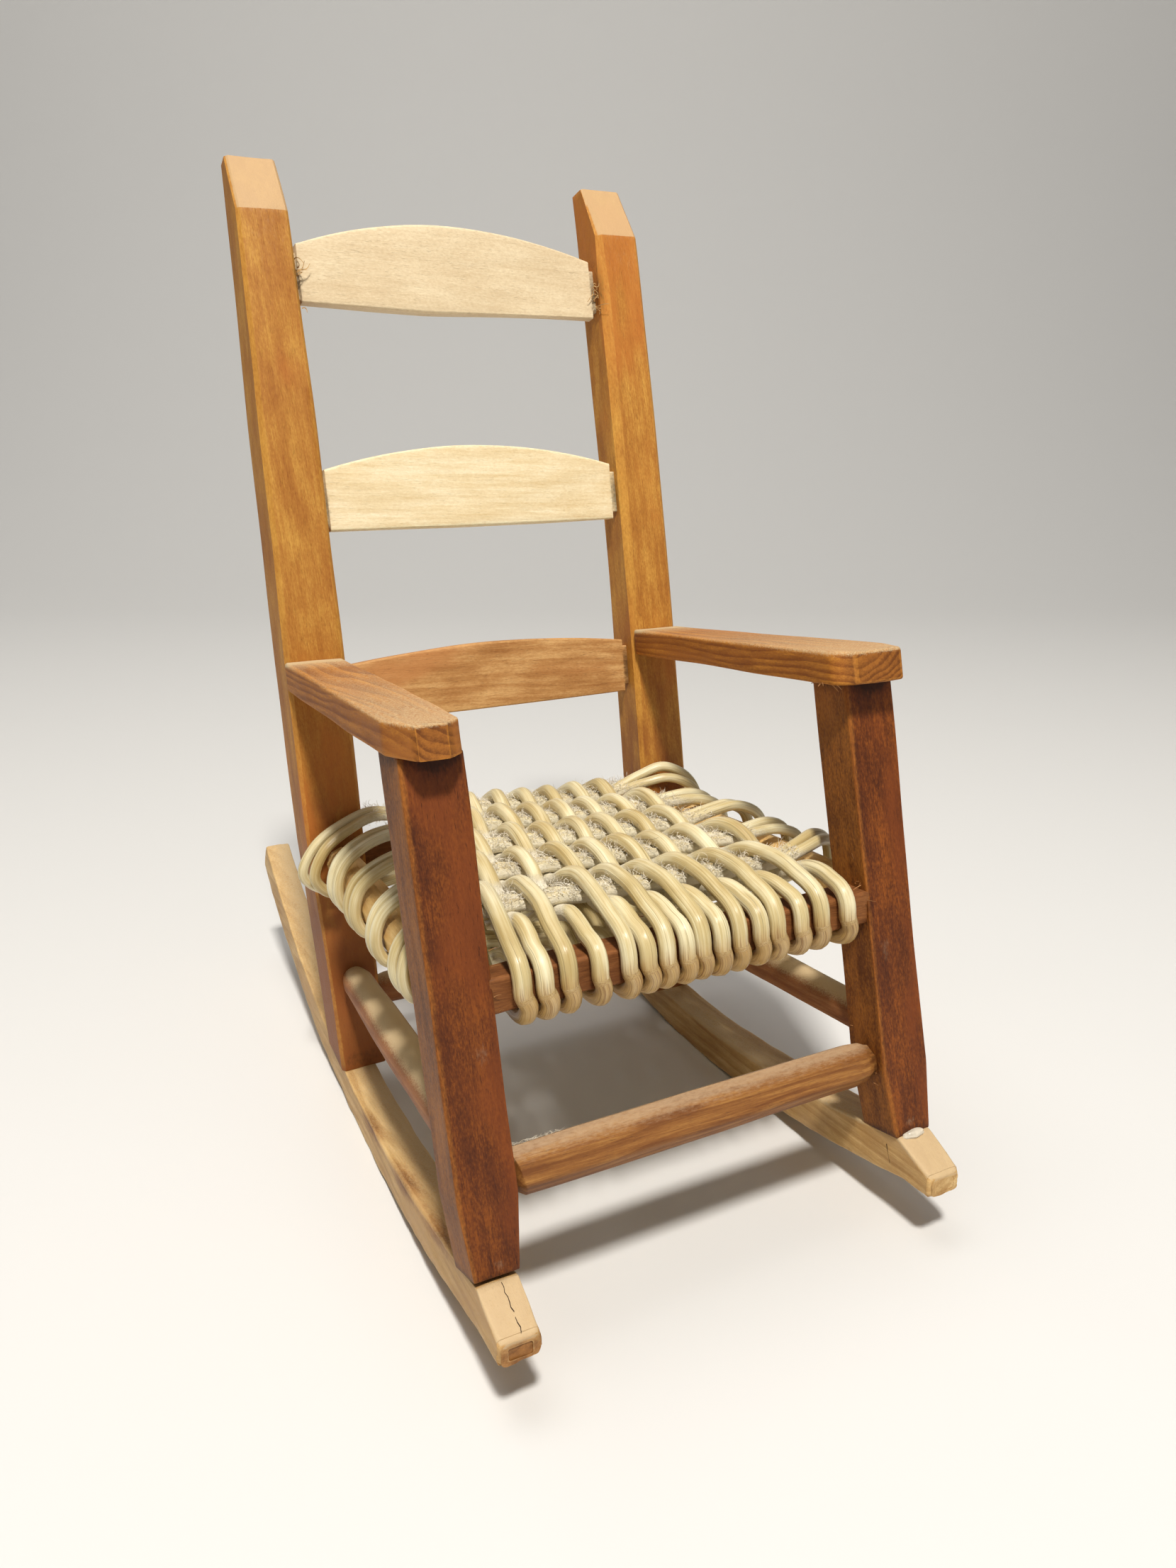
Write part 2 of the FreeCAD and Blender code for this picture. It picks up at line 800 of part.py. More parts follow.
def weft_loop(along_s):
    """One weft reed: straight over and under the warp, round both side rails."""
    depth = seat_origin.y + along_s * math.cos(seat_tip)
    share = (depth - front_depth) / (back_front(back_level) - front_depth)
    edge = size("side_rail_front") + (size("side_rail_back") - size("side_rail_front")) * share
    centre = seat_origin + along_seat * along_s
    lift = off_seat * weft_lift
    bow = Vector(weft_lift, 0, 0)
    right = centre + Vector(edge, 0, 0)
    left = centre - Vector(edge, 0, 0)
    edges = [
        Part.LineSegment(centre + lift, right + lift),
        Part.Arc(right + lift, right + bow, right - lift),
        Part.LineSegment(right - lift, left - lift),
        Part.Arc(left - lift, left - bow, left + lift),
        Part.LineSegment(left + lift, centre + lift),
    ]
    ring = Part.Wire(Part.Circle(centre + lift, Vector(1, 0, 0), weft_reed / 2).toShape())
    return Part.Wire([edge.toShape() for edge in edges]).makePipeShell([ring], True, True)


weft_depths = spread(int(size("weft_count")), size("weft_first"), size("weft_last"))
weft_depths = [(depth - seat_origin.y) / math.cos(seat_tip) for depth in weft_depths]
front_places = spread(int(size("warp_count")), -0.5, 0.5)

warp = doc.addObject("Part::Feature", "warp")
warp.Shape = Part.makeCompound([
    warp_loop(place * size("warp_front_span"), place * size("warp_back_span"), index % 2 == 0)
    for index, place in enumerate(front_places)
])
keep("seat_warp", warp)

weft = doc.addObject("Part::Feature", "weft")
weft.Shape = Part.makeCompound([
    weft_loop(depth + side * size("weft_pair") / 2)
    for depth in weft_depths
    for side in (LEFT, RIGHT)
])
keep("seat_weft", weft)


# --- Setting the chair down --------------------------------------------------


def balance():
    """The backward turn, in degrees, that puts the mass centre over the contact.

    The chair rests on the rear arc of its soles, so it stands still when its mass
    centre is straight below that arc's centre.
    """
    doc.recompute()
    mass = 0.0
    moment = Vector()
    for name, thing in parts.items():
        shape = thing.Shape.copy()
        shape.Placement = in_chair[name].multiply(shape.Placement)
        for solid in shape.Solids:
            mass += solid.Volume
            moment += solid.CenterOfMass * solid.Volume
    centre = moment * (1 / mass)
    return math.degrees(math.atan2(centre.y - rear_centre[0], rear_centre[1] - centre.z))


def set_down(turn, shift):
    """Place every sub-part: turned back about X, then moved by this shift."""
    rest = Placement(shift, Rotation(Vector(1, 0, 0), -turn))
    for name, thing in parts.items():
        thing.Placement = rest.multiply(in_chair[name])
    doc.recompute()


def whole_box():
    """The box round every sub-part."""
    box = FreeCAD.BoundBox()
    for thing in parts.values():
        box.add(thing.Shape.optimalBoundingBox(False, False))
    return box


lean_back = balance()
set_down(lean_back, Vector())
box = whole_box()
shift = Vector(-box.Center.x, -box.Center.y, -box.ZMin)
set_down(lean_back, shift)
box = whole_box()
print(f"lean {lean_back:.4f} deg, shift {shift.y:.4f} back, {shift.z:.4f} up")
print(f"size {box.XLength:.2f} x {box.YLength:.2f} x {box.ZLength:.2f}")

for item in doc.Objects:
    if "Invalid" in item.State or "Error" in item.State:
        raise RuntimeError(f"{item.Name} failed: {item.State}")
for name, thing in parts.items():
    if thing.Shape.isNull() or not thing.Shape.isValid() or not thing.Shape.Solids:
        raise RuntimeError(f"{name} has no valid solid")

os.makedirs("parts", exist_ok=True)
for name, thing in parts.items():
    thing.Shape.exportStep(os.path.join("parts", f"{name}.step"))
    print(f"{name}: {len(thing.Shape.Solids)} solid(s), {thing.Shape.Volume:.0f} mm3")
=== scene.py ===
import math
import random

import bpy
import numpy as np
from mathutils import Matrix, Quaternion, Vector, noise


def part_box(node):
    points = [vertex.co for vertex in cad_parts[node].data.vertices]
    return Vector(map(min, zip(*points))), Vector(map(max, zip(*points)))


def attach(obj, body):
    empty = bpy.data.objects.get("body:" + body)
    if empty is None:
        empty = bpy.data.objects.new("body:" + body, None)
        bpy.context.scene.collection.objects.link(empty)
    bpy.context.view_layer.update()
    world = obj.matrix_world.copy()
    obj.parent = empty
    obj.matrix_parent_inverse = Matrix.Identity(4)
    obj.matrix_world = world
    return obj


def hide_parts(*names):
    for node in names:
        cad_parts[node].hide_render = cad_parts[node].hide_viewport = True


# Looks of a miniature ladder-back rocking chair with a woven reed seat.
#
# Pieces are drawn in the chair's upright frame, in millimetres: X to the viewer's right, Y to the
# back from the front posts' faces, Z up from their feet.  UPRIGHT turns that frame back onto the
# rockers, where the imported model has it.  Each wooden piece also has a grain frame, whose Z runs
# along the wood, and its material reads that frame's coordinates.

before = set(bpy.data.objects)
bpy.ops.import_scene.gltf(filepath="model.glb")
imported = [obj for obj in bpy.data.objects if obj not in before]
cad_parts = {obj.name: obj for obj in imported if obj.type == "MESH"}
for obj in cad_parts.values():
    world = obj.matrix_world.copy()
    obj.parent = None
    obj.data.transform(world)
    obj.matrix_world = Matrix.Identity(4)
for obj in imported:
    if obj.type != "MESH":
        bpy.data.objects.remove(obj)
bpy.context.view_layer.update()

MM = 0.001
IN_MM = (1000, 1000, 1000)
LEFT, RIGHT = -1, 1
SIDES = {"left": LEFT, "right": RIGHT}

# --- Sizes in the upright frame ---

FRONT_STRETCHER, BACK_STRETCHER = (4.3, 13.2), (78.89, 26.5)
FRONT_INNER, FRONT_WIDTH, FRONT_DEPTH = 34.0, 9.5, 8.6
FRONT_RISE = {"left": 76.3, "right": 79.0}
FOOT_TRIM, FOOT_WIDTH, FOOT_TAPER = 1.2, 6.8, 12.0
BACK_INNER, BACK_WIDTH, BACK_WIDTH_TOP, BACK_WIDTH_FOOT = 31.8, 11.0, 9.4, 8.4
BACK_DEPTH, BACK_TOP, BACK_BEVEL, BEVEL_CUT = 9.4, 187.3, 176.0, 4.9
BACK_START, BACK_SLANT, BACK_BOW = 77.7, math.radians(5.0), 1340.0
TAPER_DOWN, TAPER_UP = 60.0, 95.0
ROCKER_WIDTH, ROCKER_DEPTH, FRONT_CURVE, REAR_CURVE = 6.8, 7.4, 330.0, 158.0
ROCKER_SLOPE, ROCKER_JOIN, ROCKER_SWEEP = math.radians(1.6), 54.0, math.radians(37.5)
ROCKER_TOE = math.radians(1.2)
NOSE, NOSE_DROP, NOSE_FACE, NOSE_RAKE = 7.0, 5.2, 3.9, 0.9
ARM_THICK, ARM_OVERHANG, ARM_TOP, ARM_REAR_INNER, ARM_REAR_WIDTH = 5.2, 4.9, 94.2, 32.1, 10.9
ARM_FRONT_INNER = {"left": 34.6, "right": 29.6}
ARM_OUTER = FRONT_INNER + FRONT_WIDTH + 1.3
ARM_SLANT = math.radians(6.5)
SLATS = {"top": (159.9, 2.9, 98.0), "middle": (118.4, 2.2, 112.0), "lower": (81.4, 3.0, 225.0)}
SLAT_HEIGHT, SLAT_THICK = 11.2, 2.5
SEAT_TIP, SEAT_LEVEL, RAIL_SETBACK = math.radians(11.3), 41.2, 3.1
SIDE_FRONT, SIDE_BACK, SIDE_REAR, RAIL, SIDE_RAIL = 38.8, 36.4, 70.4, 5.6, 6.4
STRETCHER_FRONT, STRETCHER_BACK = 18.6, 31.0
WARP_REED, WEFT_REED = 2.8, 2.1
GAP = 0.02


def back_front(level):
    """Y of the back posts' bowed front faces at this height."""
    bow = level * (BACK_BEVEL - level) / (2 * BACK_BOW * math.cos(BACK_SLANT) ** 3)
    return BACK_START - level * math.tan(BACK_SLANT) - bow


def seat_plane(depth):
    """Height of the seat rails' axes at this Y."""
    return SEAT_LEVEL + (depth - RAIL_SETBACK) * math.tan(SEAT_TIP)


def box_centre(node):
    """Y and Z of the middle of a node's box, in millimetres."""
    low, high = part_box(node)
    return (low.y + high.y) / 2 / MM, (low.z + high.z) / 2 / MM


def upright_frame():
    """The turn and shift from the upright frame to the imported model's, in metres."""
    near, far = box_centre("front_stretcher"), box_centre("back_stretcher")
    drawn = math.atan2(BACK_STRETCHER[1] - FRONT_STRETCHER[1], BACK_STRETCHER[0] - FRONT_STRETCHER[0])
    placed = math.atan2(far[1] - near[1], far[0] - near[0])
    turn = Matrix.Rotation(placed - drawn, 4, "X")
    moved = turn @ Vector((0, *FRONT_STRETCHER))
    return Matrix.Translation(Vector((0, near[0] - moved.y, near[1] - moved.z)) * MM) @ turn


UPRIGHT = upright_frame()

# --- Mesh building ---


def unit(rows):
    """The rows scaled to length one."""
    return rows / np.linalg.norm(rows, axis=1)[:, None]


def even(begin, finish, step):
    """Evenly spaced numbers about this far apart, both ends among them."""
    return np.linspace(begin, finish, max(2, int(abs(finish - begin) / step) + 1))


def between(level, *points):
    """Straight-line interpolation through (level, value) points."""
    return np.interp(level, [p[0] for p in points], [p[1] for p in points])


def skin(rings, closed=False):
    """Points and faces of a tube through rings of points, capped or closed on itself."""
    count, around = rings.shape[:2]
    points = [tuple(p) for p in rings.reshape(-1, 3)]
    faces = []
    for k in range(count if closed else count - 1):
        near, far = k * around, (k + 1) % count * around
        for m in range(around):
            after = (m + 1) % around
            faces.append((near + m, near + after, far + after, far + m))
    if not closed:
        points += [tuple(rings[0].mean(0)), tuple(rings[-1].mean(0))]
        first, end = count * around, (count - 1) * around
        for m in range(around):
            after = (m + 1) % around
            faces.append((first, after, m))
            faces.append((first + 1, end + m, end + after))
    return points, faces


def joined(parts):
    """The points and faces of several meshes as one."""
    points, faces = [], []
    for new_points, new_faces in parts:
        start = len(points)
        points += new_points
        faces += [tuple(v + start for v in face) for face in new_faces]
    return points, faces


def closed_ends(rings, worn, ease):
    """The rings with their end edges rounded over and their end faces filled in."""
    ends = []
    for ring, inner in ((rings[0], rings[1]), (rings[-1], rings[-2])):
        centre = ring.mean(0)
        inward = inner.mean(0) - centre
        inward /= np.linalg.norm(inward)
        reach = np.linalg.norm(ring - centre, axis=1).min()
        steps = [centre + (ring - centre) * share for share in (0.3, 0.62, 0.85)]
        for angle in (0.0, 0.5, 1.0, math.pi / 2):
            shrink = 1 - ease * (1 - math.sin(angle)) / reach
            steps.append(centre + (ring - centre) * shrink + inward * ease * (1 - math.cos(angle)))
        ends.append(np.array(steps))
    rub = np.tile(np.array([0, 0, 0.3, 1, 1, 1, 0.8])[:, None], (1, rings.shape[1]))
    rings = np.concatenate([ends[0], rings[1:-1], ends[1][::-1]])
    return rings, np.concatenate([rub, worn[1:-1], rub[::-1]])


def squared(origin, across, deep, radius, sides, flat=(0, 0, 0, 0)):
    """Rings of a rounded rectangle: a centre and two half widths, as vectors, at each station.

    Radius is one number or one for each corner, and flat turns a rounded corner into a chamfer.
    """
    origin, across, deep = (np.asarray(v, float) for v in (origin, across, deep))
    half_u = np.linalg.norm(across, axis=1)[:, None]
    half_v = np.linalg.norm(deep, axis=1)[:, None]
    radius = np.broadcast_to(np.asarray(radius, float), (len(origin), 4))
    along = np.linspace(0, 1, 4)
    arcs = []
    for c, (su, sv) in enumerate(((1, 1), (-1, 1), (-1, -1), (1, -1))):
        r, bend = radius[:, c:c + 1], (along + c) * math.pi / 2
        arc = []
        for curve in (su * (half_u - r) + r * np.cos(bend), sv * (half_v - r) + r * np.sin(bend)):
            chord = curve[:, :1] + (curve[:, -1:] - curve[:, :1]) * along
            arc.append(curve * (1 - flat[c]) + flat[c] * chord)
        arcs.append(arc)
    us, vs, worn = [], [], []
    for c, (u, v) in enumerate(arcs):
        nu, nv = arcs[(c + 1) % 4]
        share = np.arange(1, sides[c % 2] + 1) / (sides[c % 2] + 1)
        us += [u, u[:, -1:] + (nu[:, :1] - u[:, -1:]) * share]
        vs += [v, v[:, -1:] + (nv[:, :1] - v[:, -1:]) * share]
        length = np.hypot(nu[:, :1] - u[:, -1:], nv[:, :1] - v[:, -1:])
        worn += [np.ones_like(u), np.exp(-np.minimum(share, 1 - share) * length / 0.7)]
    u, v = np.concatenate(us, 1), np.concatenate(vs, 1)
    rings = origin[:, None] + (u / half_u)[..., None] * across[:, None]
    rings += (v / half_v)[..., None] * deep[:, None]
    return rings, np.concatenate(worn, 1)


def beam(x, width, near, far, radius, sides, flat=(0, 0, 0, 0)):
    """Rings between two runs of (y, z) points, with this width and middle x at each."""
    near, far = (np.column_stack(np.broadcast_arrays(*run)) for run in (near, far))
    still = np.zeros(len(near))
    origin = np.column_stack([x + still, (near + far) / 2])
    across = np.column_stack([width / 2, still, still])
    return squared(origin, across, np.column_stack([still, (far - near) / 2]), radius, sides, flat)


def facetted(start, end, radii, facets, skew, around=48):
    """Rings of a pole with flats facing these angles, and a radius at each (share, radius).

    Zero degrees faces the front and ninety faces up; no facets make a round pole.  Skew is how far
    the lower side of the first shoulder stands back from the upper one.
    """
    start, end = Vector(start), Vector(end)
    way = (end - start).normalized()
    side = way.cross(Vector((0, 0, 1))).normalized()
    rise = side.cross(way).normalized()
    turn = np.arange(around) / around * 2 * math.pi
    shape, corner = np.ones(around), np.zeros(around)
    if len(facets):
        off = (turn[:, None] - np.radians(facets) + math.pi) % (2 * math.pi) - math.pi
        corner = np.abs(off).min(1)
        shape = np.minimum(1 / np.cos(corner), 1.13)
    widest = max(radius for _, radius in radii)
    rings = []
    for share, radius in radii:
        ring = np.outer(np.cos(turn) * shape * radius, side)
        ring += np.outer(np.sin(turn) * shape * radius, rise)
        if radius > 0.8 * widest:
            ring += np.outer((1 - np.sin(turn)) / 2 * skew * max(0, 1 - 8 * share), way)
        rings.append(np.array(start.lerp(end, share)) + ring)
    worn = np.tile((corner / max(corner.max(), 0.01)) ** 6, (len(rings), 1))
    return np.array(rings)[:, ::-1], worn[:, ::-1]


def grain_frame(origin, way, across=(1, 0, 0)):
    """A frame whose Z runs along the grain."""
    z = Vector(way).normalized()
    x = Vector(across)
    x = (x - z * x.dot(z)).normalized()
    turned = Matrix((x, z.cross(x), z)).transposed().to_4x4()
    return Matrix.Translation(Vector(origin)) @ turned


def push_surface(mesh, depth, size, seed):
    """Move the points along their normals by smooth noise; size is its grain in each axis."""
    spots, normals = np.zeros((2, len(mesh.vertices) * 3), np.float32)
    mesh.vertices.foreach_get("co", spots)
    mesh.vertex_normals.foreach_get("vector", normals)
    spots, normals = spots.reshape(-1, 3), normals.reshape(-1, 3)
    places = spots / MM / np.array(size) + seed * 17.3
    swell = np.array([noise.noise(Vector(p)) for p in places.tolist()], np.float32)
    mesh.vertices.foreach_set("co", (spots + normals * (swell * depth * MM)[:, None]).reshape(-1))
    mesh.update()


def painted(spots, worn, covers, marks):
    """How strong each paint is at each point.

    Covers are a paint and a function of the points.  Marks are soft and round: a paint, centre,
    radius and strength.
    """
    values = {paint: np.zeros(len(spots)) for paint in ("worn", "dark", "pale", "warm", "dust")}
    if worn is not None:
        values["worn"][:worn.size] = worn.reshape(-1)
    for paint, cover in covers:
        values[paint] = cover(spots)
    for paint, centre, radius, strength in marks:
        away = np.linalg.norm((spots - np.array(centre)) / np.array(radius), axis=1)
        values[paint] = np.clip(values[paint] + strength * np.clip(1.15 - away, 0, 1) ** 0.8, 0, 1)
    return values


def piece(name, node, mesh_parts, grain, material, worn=None, marks=(), wobble=(), covers=(),
          straight=None):
    """A mesh in its grain frame, roughened and painted, that stands for a node of the chair."""
    points, faces = mesh_parts
    spots = np.array(points, float)
    inverse = np.array(grain.inverted())
    local = (spots @ inverse[:3, :3].T + inverse[:3, 3]) * MM
    mesh = bpy.data.meshes.new(name)
    mesh.from_pydata(local.tolist(), [], faces)
    mesh.validate()
    mesh.update()
    thing = bpy.data.objects.new(name, mesh)
    bpy.context.scene.collection.objects.link(thing)
    thing.matrix_world = UPRIGHT @ Matrix.Translation(grain.translation * MM) @ grain.to_3x3().to_4x4()
    for depth, size, seed in wobble:
        push_surface(mesh, depth, size, seed)
    for paint, strength in painted(spots, worn, covers, marks).items():
        layer = mesh.attributes.new(paint, "FLOAT", "POINT")
        layer.data.foreach_set("value", strength.astype(np.float32))
    if straight is not None:
        layer = mesh.attributes.new("straight", "FLOAT_VECTOR", "POINT")
        layer.data.foreach_set("vector", straight.astype(np.float32).reshape(-1))
    mesh.materials.append(material)
    mesh.shade_smooth()
    mesh.set_sharp_from_angle(angle=math.radians(37))
    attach(thing, "root")
    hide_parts(node)


def wooden(node, shape, ease, grain, material, marks=(), wobble=(), covers=()):
    """A wooden piece with eased ends; shape is its rings and how worn they are."""
    rings, worn = closed_ends(*shape, ease)
    piece(f"{node}_wood", node, skin(rings), grain, material, worn, marks, wobble, covers)


# --- Materials ---


class Graph:
    """A material's node tree, built from nested calls."""

    def __init__(self, name):
        self.material = bpy.data.materials.new(name)
        self.material.use_nodes = True
        self.tree = self.material.node_tree
        self.tree.nodes.clear()

    def add(self, kind, inputs, out=0, **settings):
        """A node's output; each input is a number, a tuple or another node's output."""
        node = self.tree.nodes.new(kind)
        for key, setting in settings.items():
            setattr(node, key, setting)
        for key, given in inputs.items():
            if isinstance(given, bpy.types.NodeSocket):
                self.tree.links.new(given, node.inputs[key])
            else:
                node.inputs[key].default_value = given
        return node.outputs[out]

    def math(self, operation, first, second=0.0):
        return self.add("ShaderNodeMath", {0: first, 1: second}, operation=operation)

    def times(self, first, second):
        return self.math("MULTIPLY", first, second)

    def plus(self, first, *others):
        for other in others:
            first = self.math("ADD", first, other)
        return first

    def swing(self, value, weight):
        """A noise made to swing about zero."""
        return self.times(self.math("SUBTRACT", value, 0.5), weight)

    def scaled(self, vector, scale, shift=(0, 0, 0), turn=(0, 0, 0)):
        inputs = {"Vector": vector, "Location": shift, "Rotation": turn, "Scale": scale}
        return self.add("ShaderNodeMapping", inputs)

    def noise(self, vector, scale, detail=3.0, rough=0.55, shift=(0, 0, 0)):
        place = self.scaled(vector, scale, shift)
        inputs = {"Vector": place, "Scale": 1.0, "Detail": detail, "Roughness": rough}
        return self.add("ShaderNodeTexNoise", inputs)

    def reach(self, value, low, high, to_low=0.0, to_high=1.0):
        """The value's range mapped smoothly onto another."""
        inputs = {"Value": value, "From Min": low, "From Max": high, "To Min": to_low, "To Max": to_high}
        return self.add("ShaderNodeMapRange", inputs, interpolation_type="SMOOTHSTEP")

    def ramp(self, value, *stops):
        node = self.tree.nodes.new("ShaderNodeValToRGB")
        self.tree.links.new(value, node.inputs[0])
        points = node.color_ramp.elements
        while len(points) < len(stops):
            points.new(0.5)
        for point, (place, colour) in zip(points, stops):
            point.position = place
            point.color = (*colour, 1)
        return node.outputs[0]

    def shades(self, tone, edge, dark, light):
        """A ramp from the dark colour to the light one."""
        middle = tuple((a * b) ** 0.5 for a, b in zip(light, dark))
        return self.ramp(tone, (edge, dark), (0.5, middle), (1 - edge, light))

    def cover(self, colour, share, layer):
        """The colour with another laid over it where the share says."""
        layer = (*layer, 1) if isinstance(layer, tuple) else layer
        return self.add("ShaderNodeMix", {0: share, 6: colour, 7: layer}, out=2, data_type="RGBA")

    def paint(self, name):
        return self.add("ShaderNodeAttribute", {}, out=2, attribute_name=name)

    def finish(self, colour, rough, height, bump, specular=0.5):
        """The material, with its constants set on the shader's own sockets."""
        normal = self.add("ShaderNodeBump", {"Height": height, "Strength": bump, "Distance": 0.0002})
        surface = self.add("ShaderNodeBsdfPrincipled", {
            "Base Color": colour, "Roughness": rough, "Normal": normal, "Specular IOR Level": specular})
        output = self.tree.nodes.new("ShaderNodeOutputMaterial")
        self.tree.links.new(surface, output.inputs["Surface"])
        return self.material


def shade(colour, factor):
    """A colour made lighter or darker."""
    return tuple(min(1.0, channel * factor) for channel in colour)


def tint(colour):
    """A paler version of a wood's colour, as where fresh wood shows."""
    return tuple(0.35 * channel + 0.65 * fresh for channel, fresh in zip(colour, (0.55, 0.425, 0.285)))


def wood(name, light, dark, rings=0.3, ring=1.9, pith=(16, 11), tilt=(0.03, 0.05), fibre=0.5,
         bands=0.5, cloud=0.5, pores=0.5, fleck=0.3, gloss=0.5, seed=0, blush=None, fade=None):
    """Wood with growth rings, fibres, pores and knife marks; lengths are in millimetres.

    Fade is (place along the grain, length, colour): towards lower places the colour takes over.
    """
    g = Graph(name)
    object_place = g.add("ShaderNodeTexCoord", {}, out="Object")
    place = g.scaled(object_place, IN_MM, (*pith, seed * 31.0), (*tilt, 0))
    drift = g.noise(place, (0.09, 0.09, 0.016), 2.0)
    away = g.add("ShaderNodeVectorMath", {0: g.scaled(place, (1, 1, 0))}, out="Value", operation="LENGTH")
    year = g.math("FRACT", g.times(g.plus(away, g.times(drift, 7.0)), 1 / ring))
    late = g.times(g.reach(year, 0.25, 0.88), g.reach(year, 1.0, 0.9))
    fibres = g.noise(place, (8.0, 8.0, 0.22), 4.0, 0.65)
    streaks = g.noise(place, (1.6, 1.6, 0.035), 3.0, 0.6, (7, 3, 0))
    clouds = g.noise(place, (0.22, 0.22, 0.07), 3.0, 0.6, (0, 9, 4))
    flecks = g.noise(place, (3.2, 3.2, 1.5), 3.0, 0.6, (6, 2, 3))
    tone = g.plus(0.55, g.swing(fibres, fibre * 1.6), g.swing(streaks, bands * 1.5),
                  g.swing(clouds, cloud * 1.7), g.swing(flecks, fleck))
    tone = g.math("SUBTRACT", tone, g.times(late, 0.55 * rings))
    colour = g.shades(tone, 0.08, dark, light)
    if fade:
        start, length, deeper = fade
        along = g.add("ShaderNodeSeparateXYZ", {0: g.scaled(object_place, IN_MM)}, out=2)
        along = g.plus(along, g.swing(clouds, 60.0))
        colour = g.cover(colour, g.reach(along, start, start - length, 0.0, 0.85), deeper)
    if blush:
        patch = g.noise(place, (0.1, 0.1, 0.035), 2.0, 0.5, (4, 1, 8))
        colour = g.cover(colour, g.times(g.reach(patch, 0.48, 0.66), 0.7), blush)
    pore = g.reach(g.noise(place, (8.0, 8.0, 0.6), 2.0, 0.5, (3, 8, 1)), 0.64, 0.70)
    colour = g.cover(colour, g.times(pore, 0.7 * pores), shade(dark, 0.4))
    speck = g.reach(g.noise(place, (2.6, 2.6, 2.6), 3.0), 0.7, 0.76)
    colour = g.cover(colour, g.times(speck, 0.4), shade(dark, 0.4))
    ragged = g.noise(place, (1.9, 1.9, 0.9), 4.0, 0.65, (1, 1, 6))
    warm = g.ramp(tone, (0.1, (0.12, 0.034, 0.005)), (0.9, (0.40, 0.145, 0.021)))
    # Each paint has a broken edge; its share runs from nothing at low to all of it at high.
    # The dark paint darkens joints and also lays painted shadow, as under the arms on the front posts.
    for paint, low, high, most, layer in (
            ("warm", 0.4, 1.1, 0.85, warm), ("worn", 1.1, 1.45, 0.4, shade(light, 1.2)),
            ("pale", 0.4, 0.9, 0.8, tint(light)), ("dark", 0.45, 1.0, 0.85, shade(dark, 0.2))):
        patchy = g.reach(g.plus(g.paint(paint), g.times(ragged, 0.6)), low, high)
        colour = g.cover(colour, g.times(patchy, most), layer)
    lint = g.reach(g.plus(g.paint("dust"), g.noise(place, (3.5, 3.5, 3.5), 5.0, 0.7)), 0.75, 1.3)
    colour = g.cover(colour, lint, (0.60, 0.45, 0.255))
    knife = g.noise(place, (0.5, 0.5, 0.2), 2.0, 0.4, (2, 5, 5))
    height = g.math("SUBTRACT", g.plus(g.times(fibres, 0.45), g.times(knife, 0.9)), g.times(pore, 0.45))
    height = g.plus(height, g.times(ragged, 0.3))
    rough = g.reach(fibres, 0.2, 0.8, 0.58 - 0.3 * gloss, 0.78 - 0.3 * gloss)
    rough = g.plus(rough, g.times(lint, 0.3))
    return g.finish(colour, rough, height, 0.5, 0.22 + 0.2 * gloss)


def reed_skin(name, light, dark):
    """Round reed: glossy skin with lengthwise grooves, lint in the hollows."""
    g = Graph(name)
    place = g.add("ShaderNodeAttribute", {}, out=1, attribute_name="straight")
    grooves = g.noise(place, (2.2, 2.2, 0.03), 3.0, 0.6)
    fine = g.noise(place, (7.5, 7.5, 0.06), 3.0, 0.6, (3, 1, 0))
    clouds = g.noise(place, (0.25, 0.25, 0.06), 3.0, 0.6, (0, 2, 7))
    tone = g.plus(0.58, g.swing(grooves, 0.9), g.swing(clouds, 1.6), g.swing(fine, 0.35))
    colour = g.shades(tone, 0.1, dark, light)
    line = g.reach(g.noise(place, (4.5, 4.5, 0.04), 2.0, 0.5, (5, 5, 2)), 0.62, 0.68)
    colour = g.cover(colour, g.times(line, 0.55), shade(dark, 0.45))
    mottle = g.noise(place, (2.4, 2.4, 1.7), 5.0, 0.75, (1, 7, 3))
    stain = g.reach(g.plus(g.paint("dark"), g.times(mottle, 0.4)), 0.3, 1.1)
    colour = g.cover(colour, g.times(stain, 0.7), (0.50, 0.28, 0.075))
    seam = g.times(g.reach(fine, 0.50, 0.62), g.reach(g.paint("dark"), 0.05, 0.6))
    colour = g.cover(colour, g.times(seam, 0.75), (0.24, 0.11, 0.03))
    lint = g.reach(g.plus(g.paint("dust"), g.times(mottle, 0.8)), 0.65, 1.2)
    colour = g.cover(colour, g.times(lint, 0.9), (0.88, 0.81, 0.63))
    height = g.plus(g.times(grooves, 0.8), g.times(fine, 0.2), g.times(g.times(mottle, lint), 1.6))
    rough = g.plus(g.reach(fine, 0.3, 0.7, 0.25, 0.38), g.times(lint, 0.5))
    return g.finish(colour, rough, height, 0.8, 0.45)


def plain(name, colour, rough):
    """A simple finish whose tone drifts a little."""
    g = Graph(name)
    place = g.scaled(g.add("ShaderNodeTexCoord", {}, out="Object"), IN_MM)
    drift = g.noise(place, (0.8, 0.8, 0.8), 3.0)
    tone = g.ramp(drift, (0.3, shade(colour, 0.75)), (0.7, colour))
    return g.finish(tone, g.reach(drift, 0.3, 0.7, rough, rough + 0.1), drift, 0.2)


# --- Posts, arms, slats and rockers ---

RED_DARK, RED_LIGHT = (0.066, 0.014, 0.002), (0.25, 0.067, 0.007)
HONEY_DARK, HONEY_LIGHT = (0.30, 0.097, 0.012), (0.66, 0.345, 0.063)
PALE_DARK, PALE_LIGHT = (0.42, 0.22, 0.065), (0.76, 0.53, 0.24)

ARM_SLOPE = {hand: (ARM_TOP - rise - ARM_THICK) / back_front(ARM_TOP) for hand, rise in FRONT_RISE.items()}


